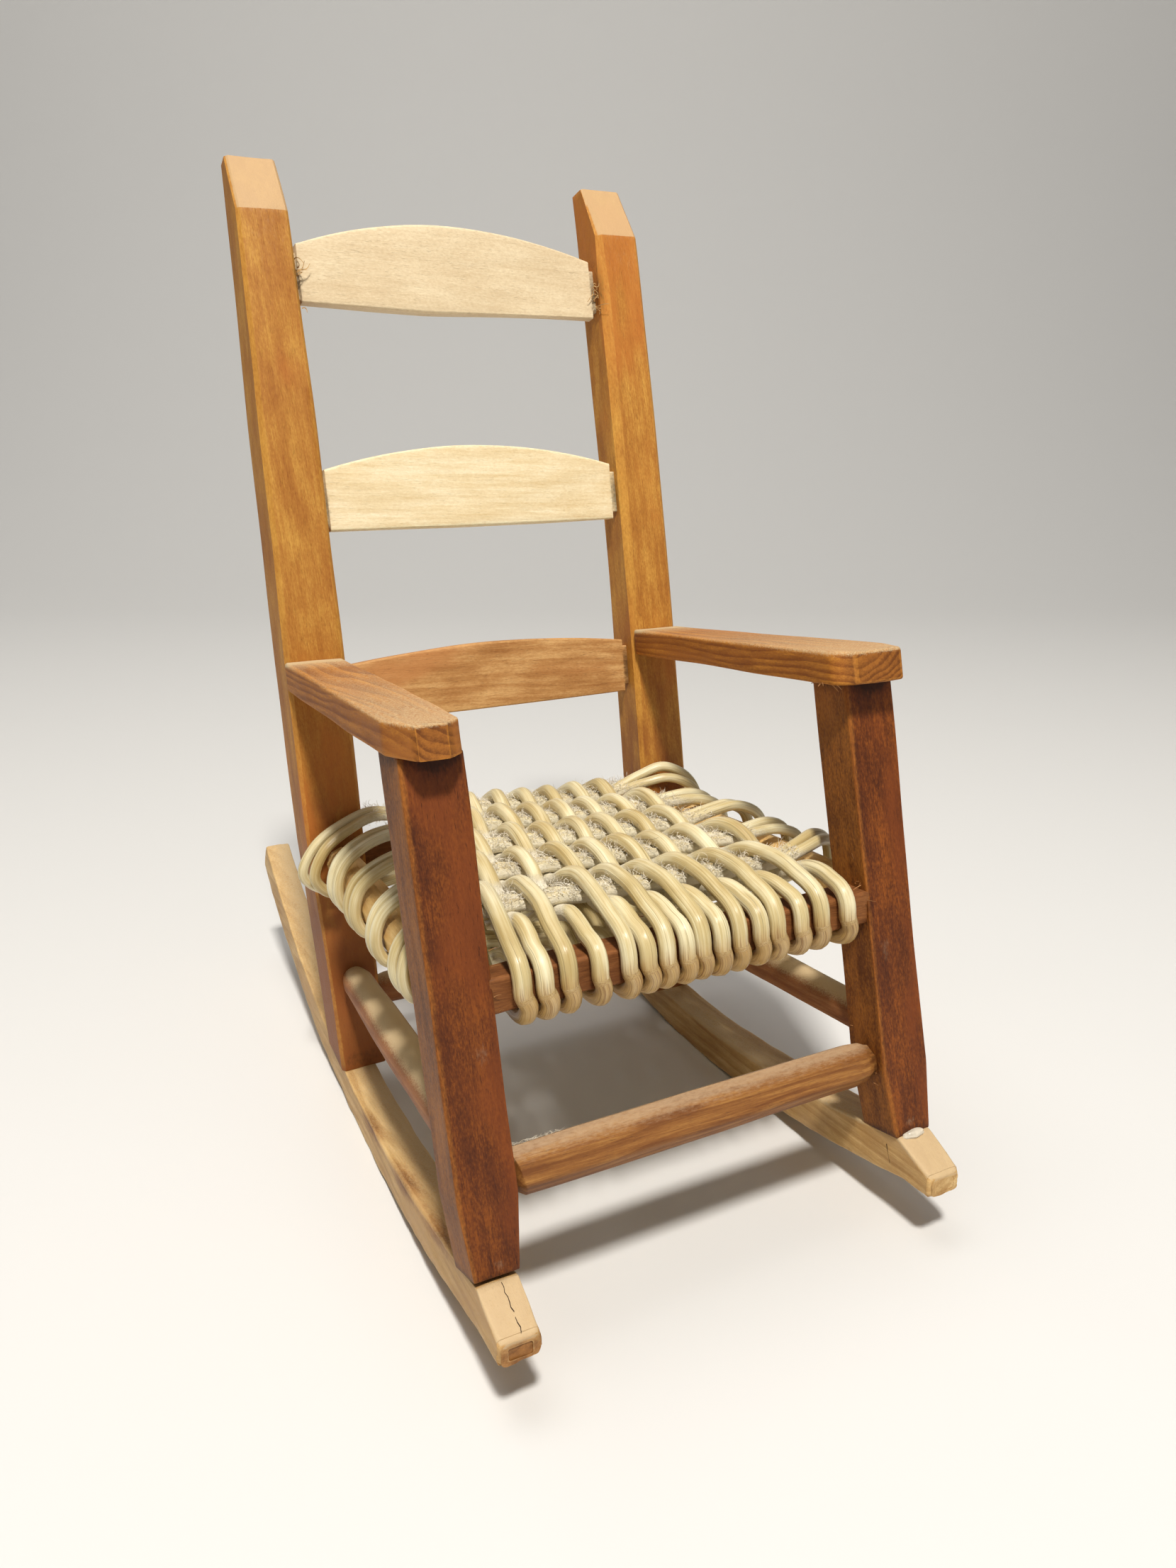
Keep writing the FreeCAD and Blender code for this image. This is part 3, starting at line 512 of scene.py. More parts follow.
def rocker_arcs():
    """The two arcs of the sole as (centre y, centre z, radius, first angle, last angle)."""
    first = (-FRONT_CURVE * math.sin(ROCKER_SLOPE), -ROCKER_DEPTH + FRONT_CURVE * math.cos(ROCKER_SLOPE))
    join = math.asin(ROCKER_JOIN / FRONT_CURVE + math.sin(ROCKER_SLOPE))
    meet = (first[0] + FRONT_CURVE * math.sin(join), first[1] - FRONT_CURVE * math.cos(join))
    second = (meet[0] - REAR_CURVE * math.sin(join), meet[1] + REAR_CURVE * math.cos(join))
    return (*first, FRONT_CURVE, ROCKER_SLOPE, join), (*second, REAR_CURVE, join, join + ROCKER_SWEEP)


def rocker_top(depth):
    """Height of a rocker's upper face at this Y."""
    for cy, cz, radius, _, last in rocker_arcs():
        inner = radius - ROCKER_DEPTH
        if depth <= cy + inner * math.sin(last):
            break
    return cz - math.sqrt(inner ** 2 - (depth - cy) ** 2)


def front_post(hand, side, material):
    """A square front post with a narrowed, scribed foot."""
    outer, half = FRONT_INNER + FRONT_WIDTH, FRONT_DEPTH / 2
    low = rocker_top(half) + GAP
    high = FRONT_RISE[hand] + ARM_SLOPE[hand] * FRONT_DEPTH / 2 - GAP
    levels = even(low, high, 1.1)
    inner_x = between(levels, (-2, outer - FOOT_TRIM - FOOT_WIDTH), (FOOT_TAPER, FRONT_INNER))
    outer_x = between(levels, (-2, outer - FOOT_TRIM), (FOOT_TAPER, outer))
    foot_tilt = -0.11 if side == LEFT else 0.03
    tilt = between(levels, (low, foot_tilt), (low + 6, 0), (high, ARM_SLOPE[hand]))
    shape = beam(side * (inner_x + outer_x) / 2, outer_x - inner_x, (0, levels - half * tilt),
                 (FRONT_DEPTH, levels + half * tilt), 0.26, (10, 9))
    x = side * (FRONT_INNER + FRONT_WIDTH / 2)
    marks = [
        # The first two marks are painted shadow: the arm's shade round the top of the post and the shadow
        # of the arm's nose on its front face.
        ("dark", (x, 4, high), (9, 9, 3.2), 0.75),
        ("dark", (x + 0.5, 0, high - 1.5), (4.5, 3, 6.5), 0.45),
        ("dark", (x, 4, low), (8, 8, 1.6), 0.7),
        ("dark", (side * FRONT_INNER, *FRONT_STRETCHER), (1.5, 6, 6), 0.45),
        ("dark", (side * FRONT_INNER, RAIL_SETBACK, SEAT_LEVEL), (2, 6, 5), 0.5),
        ("pale", (side * 37, 0, 33), (1.5, 1, 2.6), 0.22),
        ("pale", (side * 38.5, 0, 2.2), (1.3, 1, 1.0), 0.3),
    ]

    def golden(spots):
        """The post's left face, which is yellower."""
        rim = between(spots[:, 2], (-2, x - FOOT_WIDTH / 2), (FOOT_TAPER, x - FRONT_WIDTH / 2))
        return 0.75 * (spots[:, 0] < rim + 0.6)

    wooden(f"front_post_{hand}", shape, 0.2, grain_frame((x, half, 0), (0, 0, 1)),
           material, marks, [(0.16, (7, 7, 16), side + 2), (0.3, (30, 30, 45), side + 5)],
           [("warm", golden)])


def back_post(hand, side, material):
    """A bowed back post with a bevelled top, narrower at both ends."""
    depth = BACK_DEPTH / math.cos(BACK_SLANT)
    foot_y = back_front(14) + depth / 2
    low = rocker_top(foot_y) + GAP
    slope = (rocker_top(foot_y + 1) - rocker_top(foot_y - 1)) / 2
    levels = np.concatenate([
        even(low, BACK_BEVEL - 0.9, 1.3), [BACK_BEVEL - 0.12, BACK_BEVEL + 0.12],
        even(BACK_BEVEL + 0.9, BACK_TOP, 1.1)])
    width = between(levels, (0, BACK_WIDTH_FOOT), (TAPER_DOWN, BACK_WIDTH), (TAPER_UP, BACK_WIDTH),
                    (BACK_TOP, BACK_WIDTH_TOP))
    front = np.array([back_front(z) for z in levels])
    rear = front + depth
    front = front + np.clip((levels - BACK_BEVEL) / (BACK_TOP - BACK_BEVEL), 0, 1) * BEVEL_CUT
    tilt = between(levels, (low, slope), (low + 25, 0))
    rise = (rear - front) / 2 * tilt
    # The front corners, third and fourth: the right post's inner one is cut back to a long chamfer.
    inner_front, outer_front, cut = (2, 3, 1.6) if side == RIGHT else (3, 2, 0.5)
    radius = np.full((len(levels), 4), 0.3)
    radius[:, inner_front] = between(levels, (60, 0.5), (110, cut), (165, cut), (BACK_TOP, 0.5))
    radius[:, outer_front] = between(levels, (60, 0.5), (120, 0.9), (BACK_TOP, 0.7))
    x = side * (BACK_INNER + 5)
    marks = [
        ("pale", (x, back_front(170), 172), (9, 3, 9), 0.12),
        ("dark", (x, foot_y, low), (8, 9, 3), 0.6),
        ("dark", (side * BACK_INNER, 64, 165), (1.2, 5, 8), 0.5),
        ("dark", (side * BACK_INNER, 68, 124), (1.2, 5, 8), 0.4),
        ("dark", (x, back_front(60), 58), (8, 3, 10), 0.35),
    ]

    def fresh(spots):
        """The bevelled top."""
        above = spots[:, 2] - BACK_BEVEL
        bevel = back_front(spots[:, 2]) + np.clip(above, 0, 20) / (BACK_TOP - BACK_BEVEL) * BEVEL_CUT
        return 0.75 * np.clip(above / 0.3 + 0.5, 0, 1) * (spots[:, 1] < bevel + 0.45)

    shape = beam(side * (BACK_INNER + width / 2), width, (front, levels - rise), (rear, levels + rise),
                 radius, (10, 9), (0, 0, 0.9, 0.9))
    wooden(f"back_post_{hand}", shape, 0.2, grain_frame((x, 70, 90), (0, -0.08, 1)),
           material, marks, [(0.2, (8, 8, 22), side + 12), (0.5, (30, 30, 60), side + 15)],
           [("pale", fresh)])


def arm(hand, side, material):
    """A flat arm with cut front corners, butted on the back post."""
    slope, inner_front, half = ARM_SLOPE[hand], ARM_FRONT_INNER[hand], ARM_THICK / 2
    nose = -ARM_OVERHANG
    end = back_front(ARM_TOP - half) - GAP
    depths = np.concatenate([even(nose, nose + 8, 0.8), even(nose + 9.2, end, 1.2)])
    outer = between(depths, (0, ARM_OUTER), (end, ARM_REAR_INNER + ARM_REAR_WIDTH))
    outer = outer - np.clip(1 - (depths - nose) / 7.0, 0, 1) * 2.6
    inner = between(depths, (0, inner_front), (end, ARM_REAR_INNER))
    inner = inner + np.clip(1 - (depths - nose) / 2.6, 0, 1) * 2.6
    tilt = half * between(depths, (nose, 0.0), (end - 20, 0), (end, -math.tan(ARM_SLANT)))
    low = FRONT_RISE[hand] + slope * depths + GAP
    shape = beam(side * (inner + outer) / 2, outer - inner, (depths + tilt, low + ARM_THICK),
                 (depths - tilt, low), 0.4, (10, 5))
    top = FRONT_RISE[hand] + ARM_THICK
    marks = [("dark", (side * (inner_front + ARM_OUTER) / 2, 4, top - ARM_THICK), (8, 8, 1.2), 0.5)]

    def dusty(spots):
        """Dust on the upper face, thickest at the nose and against the back post."""
        depth, level = spots[:, 1], spots[:, 2] - top - slope * spots[:, 1]
        amount = between(depth, (nose, 0.56), (20, 0.48), (end - 14, 0.36), (end - 5, 0.55), (end, 1.0))
        return amount * np.clip(level / 0.6 + 1.4, 0, 1)

    def brown(spots):
        """The nose's front faces, where the end grain is darker."""
        return 0.8 * np.clip((nose + 1.3 - spots[:, 1]) / 0.8, 0, 1)

    wooden(f"arm_{hand}", shape, 0.35, grain_frame((side * 38, 0, top), (0, 1, slope)),
           material, marks, [(0.18, (7, 7, 14), side + 22), (0.3, (30, 30, 40), side + 25)],
           [("dust", dusty), ("warm", brown)])


def slat(kind, material):
    """An arched slat, its shouldered ends let into the back posts."""
    level, inset, arch = SLATS[kind]
    lean_back = math.atan(back_front(level) - back_front(level + 1))
    up = np.array([0, -math.sin(lean_back), math.cos(lean_back)])
    back = np.array([0, math.cos(lean_back), math.sin(lean_back)])
    base = np.array([0, back_front(level) + inset, level])
    shoulder, reach = BACK_INNER - 0.9, BACK_INNER + 1.5
    places = np.concatenate([
        even(-reach, -shoulder, 0.8), even(-shoulder + 0.25, shoulder - 0.25, 0.9),
        even(shoulder, reach, 0.8)])
    rise = np.sqrt(arch ** 2 - np.minimum(np.abs(places), BACK_INNER) ** 2)
    rise -= math.sqrt(arch ** 2 - BACK_INNER ** 2)
    tongue = np.abs(places) > shoulder - 0.1
    sag = 0.9 if kind == "top" else 0.1
    bottom = np.where(tongue, 1.4, np.clip((-6 - places) / 25, 0, 1) * sag)
    top = SLAT_HEIGHT + np.where(tongue, -1.2, rise)
    front = np.where(tongue, 0.7, 0.0)
    middle = base + np.outer((bottom + top) / 2, up) + np.outer((front + SLAT_THICK) / 2, back)
    middle[:, 0] = places
    across, deep = np.outer((SLAT_THICK - front) / 2, back), np.outer((top - bottom) / 2, up)
    marks = [("dark", (side * BACK_INNER, base[1], level + 5), (1.6, 5, 8), 0.7) for side in (LEFT, RIGHT)]
    if kind == "lower":
        marks.append(("dark", (-2.8, base[1] - 0.4, 86.6), (0.9, 2, 0.55), 0.5))
    wooden(f"{kind}_slat", squared(middle, across, deep, 0.35, (3, 14)), 0.2,
           grain_frame(base, (1, 0, 0), (0, 0, 1)), material, marks,
           [(0.1, (5, 5, 14), len(kind)), (0.35, (30, 12, 30), len(kind) + 3)])


def rocker(hand, side, material):
    """A curved runner with a bevelled nose."""
    soles, tops = [], []
    sole_drop = NOSE_DROP + NOSE_FACE - ROCKER_DEPTH
    for share in even(1, 0, 0.1):
        soles.append((-(NOSE - NOSE_RAKE) * share, -ROCKER_DEPTH - sole_drop * share))
        tops.append((-NOSE * share, -NOSE_DROP * share))
    for cy, cz, radius, first, last in rocker_arcs():
        for angle in even(first, last, 1.2 / radius)[1:]:
            for run, reach in ((soles, radius), (tops, radius - ROCKER_DEPTH)):
                run.append((cy + reach * math.sin(angle), cz - reach * math.cos(angle)))
    soles, tops = np.array(soles), np.array(tops)
    depths = (soles + tops)[:, 0] / 2
    width = between(depths, (-7, ROCKER_WIDTH), (100, ROCKER_WIDTH - 0.3), (136, 5.6))
    outer = FRONT_INNER + FRONT_WIDTH - FOOT_TRIM
    x = side * (outer - np.maximum(depths, -8) * math.tan(ROCKER_TOE) - width / 2)
    blunt = between(depths, (-NOSE, 0.95), (-3.5, 0.45), (0, 0.3))
    shape = beam(x, width, tops.T, soles.T, np.repeat(blunt[:, None], 4, 1), (6, 7))
    marks = [
        ("dark", (side * 39, 4, 0), (5, 6, 1), 0.45),
        ("dark", (side * 37, 84, 13), (5, 7, 2), 0.45),
        ("dark", (side * 39, -NOSE - 0.5, -7.5), (5, 0.9, 3), 0.5 if side == LEFT else 0.15),
    ]
    if side == LEFT:
        marks += [("warm", (-41.4, y, rocker_top(y)), (2.6, 10, 3), 0.75) for y in (18, 36, 56)]
        marks.append(("warm", (-39, -NOSE + 0.3, -7.9), (5, 1.3, 3.2), 1.0))

    def fresh(spots):
        """The cut top of the nose, ahead of the post's foot."""
        return 0.6 * (spots[:, 1] < 0.2) * (spots[:, 2] > spots[:, 1] * NOSE_DROP / NOSE - 0.5)

    def dusty(spots):
        """Dust on the upper face behind the front post, more of it on the inner side."""
        level = spots[:, 2] - np.interp(spots[:, 1], tops[:, 0], tops[:, 1])
        inward = np.clip((outer - np.abs(spots[:, 0])) / ROCKER_WIDTH, 0, 1)
        amount = (0.25 + 0.4 * inward) * np.clip((spots[:, 1] - 6) / 3, 0, 1)
        return amount * np.clip(level / 0.6 + 1.4, 0, 1)

    wobble = [(0.14, (2.4, 2.4, 4), side + 30), (0.16, (7, 7, 14), side + 32),
              (0.4, (30, 30, 40), side + 35)]
    wooden(f"rocker_{hand}", shape, 0.8, grain_frame((side * 38, 60, 0), (0, 1, 0.25)),
           material, marks, wobble, [("pale", fresh), ("dust", dusty)])


# --- Rails and stretchers ---


def square_rail(node, depth, inner, material):
    """A square rail along X, tipped like the seat."""
    places = even(-inner - 0.5, inner + 0.5, 1.2)
    level = seat_plane(depth)
    across, deep = (np.tile(RAIL / 2 * way, (len(places), 1)) for way in (ALONG, OFF))
    shape = squared([(x, depth, level) for x in places], across, deep, 0.5, (5, 5))
    wooden(node, shape, 0.2, grain_frame((0, depth, level), (1, 0, 0), (0, 0, 1)), material,
           wobble=[(0.25, (3, 3, 5), 41)])


def pole(node, start, end, radii, material, coat, facets=(), marks=(), wobble=0.12, seed=50,
         skew=0.0):
    """A rail or stretcher with a radius profile of (share, radius).

    Coat is a paint for its upper side, from nothing at the low level over the axis to its full
    strength at the high one: (paint, low, high, strength).
    """
    way = np.array(end) - np.array(start)
    length = (Vector(end) - Vector(start)).length
    shares = np.array(sorted({*np.linspace(0, 1, int(length / 1.1)).tolist(), *(s for s, _ in radii)}))
    shape = facetted(start, end, list(zip(shares, between(shares, *radii))), facets, skew)
    paint, low, high, strength = coat

    def upper_side(spots):
        share = (spots - np.array(start)) @ way / (way @ way)
        level = spots[:, 2] - start[2] - share * way[2]
        return strength * np.clip((level - low) / (high - low), 0, 1)

    wooden(node, shape, 0.15, grain_frame(start, Vector(end) - Vector(start), (0, 0, 1)), material,
           marks, [(wobble, (4, 4, 12), seed), (wobble * 2, (20, 20, 25), seed + 3)],
           [(paint, upper_side)])


# --- Woven reed ---

ALONG = np.array([0, math.cos(SEAT_TIP), math.sin(SEAT_TIP)])
OFF = np.array([0, -math.sin(SEAT_TIP), math.cos(SEAT_TIP)])
SEAT_ORIGIN = np.array([0, RAIL_SETBACK, SEAT_LEVEL])
SEAT_LENGTH = 73.7
WEAVE = 4.3
WARP_LIFT = 2.45
WARP_FRONT = (-30.0, -26.5, -22.8, -17.7, -12.6, -9.2, -6.1, -2.6,
              0.4, 3.7, 7.2, 11.2, 14.6, 19.1, 23.1, 28.6)
WARP_BACK, WARP_STEP = -21.8, 2.95
PAIRS = (12.2, 27.3, 41.0, 54.6, 67.2)
PAIR_HALF = 1.12
# How each weft reed leaves the weave, front to back: (rise, reach, slip along the rail).
SIDE_TURNS = {
    RIGHT: ((1.6, 0.5, 5.2), (2.0, 0.9, 6.4), (0.4, 0.3, 0.2), (0.9, 0.4, 2.6), (2.0, 1.2, -0.6),
            (1.4, 0.6, 1.6), (0.2, 0.3, -1.2), (0.9, 0.6, 0.8), (2.6, 1.2, -4.6), (4.6, 2.4, -3.8)),
    LEFT: ((0.4, 0.2, -1.0), (0.6, 0.4, 0.6), (0.3, 0.2, -0.4), (0.9, 0.5, -0.8), (0.3, 0.2, 0.0),
           (0.5, 0.4, 0.6), (0.8, 0.4, -1.6), (1.0, 0.7, -0.8), (1.0, 2.6, -4.2), (1.6, 4.2, -3.4)),
}


def in_seat(x, s, n):
    """A point of the seat frame in the upright frame."""
    return np.array([x, 0, 0]) + SEAT_ORIGIN + ALONG * s + OFF * n


def crown(x, s):
    """How far the weave's upper layer bulges above the rails, most of all to the left and back."""
    left = np.clip((12 - x) / 42, 0, 1)
    full = 1.4 + left * (2.0 + s / SEAT_LENGTH)
    return full * np.clip(s / 9, 0, 1) * np.clip((SEAT_LENGTH + 3 - s) / 5, 0, 1)


def smooth_loop(corners, step=0.75):
    """An even run of points along a closed smooth curve, and how far along it each one is."""
    p = np.array(corners, float)
    p = np.concatenate([p[-1:], p, p[:2]])
    gaps = np.linalg.norm(np.diff(p, axis=0), axis=1) ** 0.5
    knots = np.concatenate([[0], np.cumsum(gaps)])
    run = []
    for i in range(1, len(p) - 2):
        knot = knots[i - 1:i + 3]
        t = np.linspace(knot[1], knot[2], 13)[:-1, None]
        layer = p[i - 1:i + 3]
        for spans in (((0, 1), (1, 2), (2, 3)), ((0, 2), (1, 3)), ((1, 2),)):
            layer = [(knot[b] - t) / (knot[b] - knot[a]) * near + (t - knot[a]) / (knot[b] - knot[a]) * far
                     for (a, b), near, far in zip(spans, layer, layer[1:])]
        run.append(layer[0])
    run = np.concatenate(run)
    run = np.concatenate([run, run[:1]])
    far = np.concatenate([[0], np.cumsum(np.linalg.norm(np.diff(run, axis=0), axis=1))])
    places = np.linspace(0, far[-1], int(far[-1] / step) + 1)
    return np.column_stack([np.interp(places, far, run[:, k]) for k in range(3)])[:-1], places[:-1]


def reed_tube(path, places, radius, reference, seed, around=18):
    """Rings round a closed path, with shallow grooves along it, and their straightened places."""
    way = unit(np.roll(path, -1, 0) - np.roll(path, 1, 0))
    side = unit(np.cross(way, np.cross(np.asarray(reference, float), way)))
    rise = np.cross(way, side)
    turn = np.arange(around) / around * 2 * math.pi
    draw = random.Random(seed)
    groove = np.array([draw.uniform(-0.03, 0.03) for _ in range(around)])
    oval = 1 + 0.04 * math.sin(seed) * np.cos(2 * turn)
    swell = 1 + 0.035 * np.sin(places / 11.0 + seed * 2.1)
    size = radius * swell[:, None] * (oval + groove)
    rings = path[:, None] + (np.cos(turn) * size)[..., None] * side[:, None]
    rings += (np.sin(turn) * size)[..., None] * rise[:, None]
    straight = np.broadcast_arrays(np.cos(turn) * radius, np.sin(turn) * radius, places[:, None])
    return rings, np.stack(straight, -1) + seed * np.array([9.1, 5.3, 13.7])


def flat_seat(spots):
    """Each point's place along the seat and its height over the rails, less the weave's bulge."""
    depth, height = (spots - SEAT_ORIGIN) @ ALONG, (spots - SEAT_ORIGIN) @ OFF
    return depth, height - crown(spots[:, 0], depth) * (height > 0)


def reed_dust(spots):
    """Lint in the hollows of the weave."""
    depth, height = flat_seat(spots)
    hollow = np.clip((WEAVE + 2.2 - height) / 2.2, 0, 1) * np.clip((height + 1) / 2, 0, 1)
    inside = np.clip(depth / 6, 0, 1) * np.clip((38 - np.abs(spots[:, 0])) / 8, 0.1, 1)
    return hollow * inside * np.clip((SEAT_LENGTH + 2 - depth) / 5, 0.3, 1) * 0.9


def reed_stain(spots):
    """Brown skin low on the front turns."""
    depth, height = flat_seat(spots)
    return np.clip((3.6 - height) / 5, 0, 1) * np.clip(1 - depth / 3, 0, 1) * 0.85


def weave(name, node, strands, material):
    """One object of several reeds, each strand given as (corners, radius, reference, seed)."""
    tubes, straights = [], []
    for corners, radius, reference, seed in strands:
        rings, straight = reed_tube(*smooth_loop(corners), radius, reference, seed)
        tubes.append(skin(rings, closed=True))
        straights.append(straight.reshape(-1, 3))
    piece(name, node, joined(tubes), grain_frame(SEAT_ORIGIN, OFF), material,
          covers=[("dust", reed_dust), ("dark", reed_stain)], straight=np.concatenate(straights))


def warp_x(index, s, jitter):
    """X of a warp reed at this distance along the seat."""
    front = WARP_FRONT[index]
    back = WARP_BACK + WARP_STEP * index
    return front + (back - front) * (s / SEAT_LENGTH) + jitter


def warp_strand(index):
    """A warp reed's closed loop: over the front rail, through the weft, round the back rail."""
    draw = random.Random(100 + index)
    over = index % 2 == 0
    turn = (RAIL + WARP_REED) / 2 + 0.12
    lifts = [WARP_LIFT * draw.uniform(0.88, 1.08) * (1 if (number % 2 == 0) == over else -0.95)
             for number in range(len(PAIRS))]
    below = [(-turn * 0.98, turn * 0.45), (-turn * 0.78, turn * 0.85), (-turn * 0.3, turn * 1.05),
             (2.0, turn + 0.4)]
    if over:
        front = [(-turn, turn * 0.42), (-turn * 0.9, turn * 0.8), (-turn * 0.66, turn * 1.12),
                 (-turn * 0.28, turn * 1.34), (1.6, turn + 2.1), (6.4, turn + 2.6)]
    else:
        front = [(-turn, turn * 0.42), (-turn * 0.87, turn * 0.78), (-turn * 0.58, turn * 1.04),
                 (-turn * 0.1, turn * 1.18), (2.2, turn + 1.1), (5.6, turn + 0.5)]
    middle = []
    for number, s in enumerate(PAIRS[:-1]):
        for share in (0, 0.16, 0.33, 0.5, 0.67, 0.84):
            near = (1 + math.cos(share * math.pi)) / 2
            level = lifts[number] * near + lifts[number + 1] * (1 - near)
            level *= 1.15 / math.sqrt(1 + 0.32 * (level / WARP_LIFT) ** 2)
            middle.append((s + share * (PAIRS[number + 1] - s), WEAVE + level))
    middle += [(PAIRS[-1], WEAVE + lifts[-1]), (SEAT_LENGTH - 0.4, turn + 0.2),
               (SEAT_LENGTH + turn * 0.72, turn * 0.78)]
    corners = []
    for s, n in [(-turn * 1.04, 0)] + front + middle + [(SEAT_LENGTH + turn * 1.02, 0)]:
        drift = 0.5 * noise.noise(Vector((index * 7.3, s * 0.11, 0)))
        x = warp_x(index, max(s, 0), drift)
        corners.append(in_seat(x, s, n + crown(x, s)))
    corners += [in_seat(warp_x(index, max(s, 0), 0.8), s, -n) for s, n in reversed(below + middle)]
    return corners, WARP_REED / 2 * draw.uniform(0.94, 1.02), (1, 0, 0), index + 1


def side_turn(side, s, rise, reach, slip):
    """Corners where a weft reed goes round a side rail, from the top to the underside."""
    depth = RAIL_SETBACK + s * math.cos(SEAT_TIP)
    rail = between(depth, (FRONT_DEPTH, SIDE_FRONT), (SIDE_REAR, SIDE_BACK))
    turn = SIDE_RAIL / 2 + WEFT_REED / 2 + 0.1
    bulge = crown(side * rail, s)
    shape = (
        (-6.5, WEAVE + 0.2 + rise * 0.55 + bulge, 0.15),
        (-1.0, turn + 0.25 + rise + bulge * 0.6, 0.5),
        (turn * 0.72 + reach * 0.6, turn * 0.75 + rise * 0.7 + bulge * 0.25, 0.85),
        (turn * 1.02 + reach, rise * 0.1 + bulge * 0.05, 1.0),
        (turn * 0.75 + reach * 0.5, -turn * 0.75, 0.8),
        (-0.8, -turn - 0.2, 0.4),
        (-6.5, -WEAVE - 0.2, 0.1),
    )
    return [in_seat(side * (rail + x), s + slip * share, n) for x, n, share in shape]


def weft_strand(pair, which):
    """One reed of a weft pair, woven from side to side on the top and on the underside."""
    number = 2 * pair + which
    draw = random.Random(300 + number)
    s = PAIRS[pair] + (PAIR_HALF if which else -PAIR_HALF)
    run = []
    for index in range(len(WARP_FRONT)):
        warp_over = (pair % 2 == 0) == (index % 2 == 0)
        n = WEAVE + (-0.25 if warp_over else 0.25) + draw.uniform(-0.1, 0.1)
        run.append((warp_x(index, s, 0), s + draw.uniform(-0.25, 0.25), n))
    corners = [in_seat(x, along, n + crown(x, along)) for x, along, n in run]
    corners += side_turn(RIGHT, s, *SIDE_TURNS[RIGHT][number])
    corners += [in_seat(x, along, -n) for x, along, n in reversed(run)]
    corners += side_turn(LEFT, s, *SIDE_TURNS[LEFT][number])[::-1]
    return corners, WEFT_REED / 2 * draw.uniform(0.97, 1.05), ALONG, number + 31


# --- Lint, splinters and other fine marks ---


def curl(draw, start, way, length, bend, steps=5):
    """A short run of points that starts this way and turns steadily."""
    axis = Vector([draw.gauss(0, 1) for _ in range(3)]).normalized()
    way = Vector(way).normalized()
    run = [Vector(start)]
    for _ in range(steps):
        run.append(run[-1] + way * length / steps)
        way.rotate(Quaternion(axis, bend / steps))
    return run


def threads(name, node, curves, thickness, material, taper=0.6):
    """One object of many fine threads, each a run of points in the upright frame."""
    tubes = []
    for curve in curves:
        curve = np.array(curve, float)
        way = np.gradient(curve, axis=0)
        side = unit(np.cross(way, (0.31, 0.52, 0.79)))
        rise = unit(np.cross(way, side))
        size = thickness * (1 - taper * np.linspace(0, 1, len(curve)))[:, None]
        tubes.append(skin(np.stack(
            [curve + size * (side * math.cos(a) + rise * math.sin(a)) for a in (0, 2.1, 4.2)], 1)))
    piece(name, node, joined(tubes), grain_frame(curves[0][0], (0, 0, 1)), material)


def weave_lint(count):
    """Fluff on the woven reeds' upper sides and round the back edge."""
    draw = random.Random(71)
    curves = []
    for number in range(count):
        x = draw.uniform(-31, 30)
        rim = number % 6 == 0
        s = draw.uniform(SEAT_LENGTH - 5, SEAT_LENGTH + 3) if rim else (
            draw.choice(PAIRS) + draw.choice((-1.5, 1.5)) + draw.gauss(0, 0.8))
        n = WEAVE + (draw.uniform(-0.2, 1.2) if rim else draw.uniform(0.4, 1.6))
        way = (draw.gauss(0, 1), draw.gauss(0, 1), abs(draw.gauss(0, 1)))
        start = in_seat(x, s, n + crown(x, s))
        curves.append(curl(draw, start, way, draw.uniform(0.7, 2.2), draw.uniform(0.5, 4.5), 4))
    return curves


def tuft(draw, count, centre, spread, way, length, bend):
    """A loose bundle of splinters or shavings."""
    curves = []
    for _ in range(count):
        start = [c + draw.gauss(0, w) for c, w in zip(centre, spread)]
        aim = [w + draw.gauss(0, 0.45) for w in way]
        long, turned = length * draw.uniform(0.5, 1.2), bend * draw.uniform(0.5, 1.3)
        curves.append(curl(draw, start, aim, long, turned, 7))
    return curves


def glue_drop(name, node, centre, radii, material, seed):
    """A dried drop, flattened and uneven."""
    rings = []
    for polar in np.arange(1, 12) / 12 * math.pi:
        ring = []
        for turn in np.arange(24) / 12 * math.pi:
            spot = Vector((math.sin(polar) * math.cos(turn), math.cos(polar),
                           math.sin(polar) * math.sin(turn)))
            swell = 1 + 0.25 * noise.noise(spot * 1.7 + Vector((seed, 0, 0)))
            ring.append([c + r * swell * q for c, r, q in zip(centre, radii, spot)])
        rings.append(ring)
    piece(name, node, skin(np.array(rings)), grain_frame(centre, (0, 0, 1)), material)


# --- Making the chair ---

